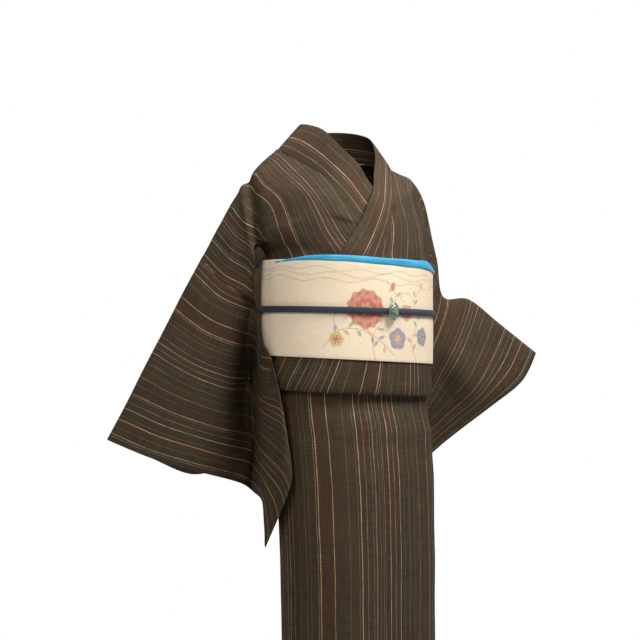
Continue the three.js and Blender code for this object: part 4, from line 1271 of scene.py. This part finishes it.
back_piece("sash_roll_cloth", DRUM_PROFILE, DRUM_WIDTH, 330, 150, "sash_drum", 51, 0.8)
back_piece("sash_tail_cloth", TAIL_PROFILE, DRUM_WIDTH - 12, 60, 60, "sash_tail", 52, 0.25)
back_piece("sash_hand_end_cloth", HAND_PROFILE, 320, 40, 60, "sash_hand_end", 53, 0.05)

# %% [markdown]
# The scarf is soft crepe, gathered into a few folds. It shows as a narrow strip above the sash in
# front and as a fuller roll round the pad inside the top of the sash roll.

# %% Scarf


def crepe(name):
    s = Surface(name)
    u, v = s.cloth_place()
    pebbles_and_painted_shade = s.add("TexVoronoi", {"feature": "F1"}, Vector=s.vector(u, v), Scale=1100.0).outputs[0]
    soft = s.noise(s.vector(u, v), 30.0, 3.0)
    shade = s.mix(s.range(soft, 0.3, 0.7, 0.0, 1.0), colour("#1685a8"), colour("#2196bb"))
    # the pits between the crepe's pebbles are painted darker: painted shade, from the same pattern as the
    # bump
    shade = s.mix(s.range(pebbles_and_painted_shade, 0.0, 0.8, 0.25, 0.0), shade, colour("#0d6483"))
    return s.finish(shade, 0.62, pebbles_and_painted_shade, 0.0003, sheen=0.12)


CREPE = crepe("turquoise crepe")
# columns: centre x, y, z, height, thickness, outward x, y, z
SCARF = []
# columns: angle, distance outside the sash form, height above the sash edge, height, thickness
SCARF_FRONT = [
    (-106, -1.2, -5, 4, 1.5), (-86, -1.2, -4.5, 4, 1.5), (-76, -1.2, -3, 4, 1.6), (-66, -1.3, -0.2, 4.5, 2.4),
    (-54, -1.4, 2.8, 8.5, 3.6), (-40, -1.4, 4, 10.5, 4.2), (-24, -1.4, 4.4, 10.5, 4.2),
    (-8, -1.2, 4.4, 11, 4.6), (8, -1.2, 5.2, 12.5, 5), (22, -1.2, 5.6, 12, 5), (33, -1, 6.2, 15, 5),
    (41, -0.8, 5, 13, 5), (50, -0.2, 1.4, 8, 4.4), (60, 1, -1, 6, 3.6), (74, 3.2, -3.5, 8, 3.8),
    (86, 3.1, -6, 9, 3.6), (100, 2.9, -7, 8, 3.2),
]
for angle, out, lift, tall, deep in SCARF_FRONT:
    s, c = math.sin(angle * DEG), math.cos(angle * DEG)
    SCARF.append(((SASH_A + out) * s, -(SASH_B + out) * c, SASH_TOP - TILT * s + lift, tall, deep, s, -c, 0))
SCARF += [
    (149, 64, -214, 9, 4, 1, 0.2, 0), (149, 95, -204, 12, 5, 1, 0.1, 0.1),
    (155, 122, -184, 16, 6, 1, 0, 0.3), (157, 145, -164, 22, 7, 0.9, 0.2, 0.4),
    (140, 166, -154, 28, 14, 0.3, 0.6, 0.7), (100, 172, -150, 34, 24, 0, 0.6, 0.7),
    (0, 173, -149, 38, 28, 0, 0.6, 0.7), (-100, 172, -150, 34, 24, 0, 0.6, 0.7),
    (-140, 166, -154, 28, 14, -0.3, 0.6, 0.7), (-157, 145, -164, 22, 7, -0.9, 0.2, 0.4),
    (-155, 122, -182, 16, 6, -1, 0, 0.3), (-149, 95, -196, 12, 5, -1, 0.1, 0.1),
    (-144, 62, -202, 7, 3, -1, 0.2, 0),
]


def rounded_loop(rows, count, sides, fold=0.0):
    """A closed loop of flattened section; rows hold centre, height, thickness and outward."""
    rows = np.asarray(rows, float)
    t = steps(count, True)
    read = curve(rows, t, True)
    ahead = np.roll(read[:, :3], -1, axis=0) - np.roll(read[:, :3], 1, axis=0)
    ahead /= np.linalg.norm(ahead, axis=1, keepdims=True)
    out = read[:, 5:8]
    out = out - ahead * (out * ahead).sum(axis=1, keepdims=True)
    out /= np.linalg.norm(out, axis=1, keepdims=True)
    up = np.cross(out, ahead)
    length = np.concatenate([[0], np.cumsum(np.linalg.norm(np.diff(read[:, :3], axis=0), axis=1))])
    a = 2 * math.pi * (np.arange(sides) + 0.5) / sides
    size = np.ones((count, sides))
    if fold:
        slow = length[:, None] / 24
        small = fold * 0.6 * np.sin(a[None, :] * 5 - slow * 1.4)
        size += fold * np.sin(a[None, :] * 3 + np.sin(slow) * 1.3) + small
    rise = up[:, None, :] * (np.cos(a)[None, :] * size * read[:, 3:4] / 2)[:, :, None]
    bulge = out[:, None, :] * (np.sin(a)[None, :] * size * read[:, 4:5] / 2)[:, :, None]
    return read[:, None, :3] + rise + bulge, length


def loop_piece(name, rows, count, sides, surface, node, fold=0.0):
    points, length = rounded_loop(rows, count, sides, fold)
    faces, places = [], []
    round_about = float(np.linalg.norm(np.diff(points[0], axis=0), axis=1).sum())
    lengthwise = np.append(length, length[-1] + length[1])
    for i in range(count):
        for j in range(sides):
            n, k = (i + 1) % count, (j + 1) % sides
            faces.append((i * sides + j, i * sides + k, n * sides + k, n * sides + j))
            near, far = (at / sides * round_about * MM for at in (j, j + 1))
            start, end = lengthwise[i] * MM, lengthwise[i + 1] * MM
            places += [(near, start), (far, start), (far, end), (near, end)]
    piece = solid(name, (points.reshape(-1, 3) * MM).tolist(), faces, [surface], places)
    settle(piece, [node])
    return piece


scarf = loop_piece("scarf_crepe", SCARF, 700, 42, CREPE, "scarf", 0.07)

# %% [markdown]
# The cord is a flat braid of navy silk, 12 mm wide, tied round the sash and through the roll. The
# braid is a herringbone in the material: slanted strands that meet along the middle.

# %% Cord
CORD_TALL = 12
CORD_DEEP = 4.6
CORD_OUT = 2.9


def braid(name):
    s = Surface(name)
    u, v = s.cloth_place()
    mirrored = s.math("PINGPONG", u, 0.006)
    strand = s.wave(s.math("ADD", v, mirrored), 0.0024)
    fibre = s.streaks(u, v, 900.0, 300.0, 2.0)
    height = s.math("ADD", s.math("MULTIPLY", strand, 0.5), fibre)
    # the colour follows the strands' height: painted shade in the grooves between the strands and painted
    # light on their crests
    shade = s.mix(s.range(height, 0.0, 1.2, 0.0, 1.0), colour("#0b0f1f"), colour("#1b2239"))
    return s.finish(shade, 0.6, height, 0.0005, sheen=0.05)


cord_rows = []
for angle in range(-120, 121, 15):
    s, c = math.sin(angle * DEG), math.cos(angle * DEG)
    out = CORD_OUT + max(0, abs(angle) - 100) * 0.25
    cord_rows.append(((SASH_A + out) * s, -(SASH_B + out) * c, CORD_Z - 4 * s, s, -c, 0))
cord_rows += [
    (145, 92, -283, 1, 0, 0), (161, 122, -283, 1, 0, 0), (168, 144, -283, 0.9, 0.4, 0),
    (162, 151, -283, 0.4, 0.9, 0), (145, 151.4, -283, 0, 1, 0), (70, 151.4, -283, 0, 1, 0),
    (0, 151.4, -282.5, 0, 1, 0), (-70, 151.4, -282, 0, 1, 0), (-145, 151.4, -282, 0, 1, 0),
    (-162, 151, -281, -0.4, 0.9, 0), (-168, 144, -280, -0.9, 0.4, 0), (-161, 122, -279, -1, 0, 0),
    (-145, 92, -277, -1, 0, 0),
]
# the braid is a little smaller than the full section
cord_rows = [(*row[:3], CORD_TALL - 1, CORD_DEEP - 1.2, *row[3:]) for row in cord_rows]
loop_piece("cord_braid", cord_rows, 640, 20, braid("navy braid"), "cord")

# %% [markdown]
# The clasp is an oval of grey-green stone in a silvery rim, threaded on the cord at the front.

# %% Clasp
CLASP_WIDE = 19
CLASP_TALL = 30
CLASP_OUT = 5.8                    # its back lies this far in front of the sash form


def stone(name):
    s = Surface(name)
    place = s.add("TexCoord").outputs["Object"]
    cloud = s.noise(place, 130.0, 5.0, 0.6)
    vein = s.noise(place, 420.0, 3.0, 0.7)
    stops = [(0.3, "#39463c"), (0.48, "#5d6c58"), (0.62, "#8a9680"), (0.75, "#46584f")]
    shade, _ = s.ramp(cloud, [(at, colour(hexed)) for at, hexed in stops])
    shade = s.mix(s.range(vein, 0.55, 0.7, 0.0, 0.6), shade, colour("#9aa79a"))
    return s.finish(shade, 0.16, cloud, 0.0001, Coat_Weight=0.6, Coat_Roughness=0.08)


def metal(name):
    s = Surface(name)
    place = s.add("TexCoord").outputs["Object"]
    worn = s.noise(place, 500.0, 3.0)
    shade = s.mix(s.range(worn, 0.35, 0.65, 0.0, 1.0), colour("#7d8f93"), colour("#b4c0c0"))
    return s.finish(shade, s.range(worn, 0.3, 0.7, 0.22, 0.42), worn, 0.00005, Metallic=0.85)


def oval_piece(name, profile, surface, nodes, sides=96):
    """profile: share of the half sizes and distance in front of the sash, in mm."""
    points = []
    for share, front in profile:
        for k in range(sides):
            a = 2 * math.pi * k / sides
            x = share * CLASP_WIDE / 2 * math.cos(a)
            z = CORD_Z + share * CLASP_TALL / 2 * math.sin(a)
            points.append((x * MM, -(SASH_B + CLASP_OUT + front) * MM, z * MM))
    faces = []
    for i in range(len(profile) - 1):
        for k in range(sides):
            n = (k + 1) % sides
            faces.append((i * sides + k, i * sides + n, (i + 1) * sides + n, (i + 1) * sides + k))
    faces.append(tuple(range(sides)))
    faces.append(tuple(range((len(profile) - 1) * sides, len(profile) * sides)))
    settle(solid(name, points, faces, [surface], sharp=35), nodes)


rim = [(0.86, 0), (1, 0.5), (1, 3.2), (0.95, 4.4), (0.86, 4.9), (0.8, 4.2), (0.8, 1.2)]
oval_piece("clasp_rim", rim, metal("silvery rim"), ["clasp"])
dome = [(0.805, 2.0)] + [(0.805 * math.cos(t), 4.0 + 4.6 * math.sin(t)) for t in np.linspace(0, 1.5, 12)]
oval_piece("clasp_stone", dome, stone("grey-green stone"), [])
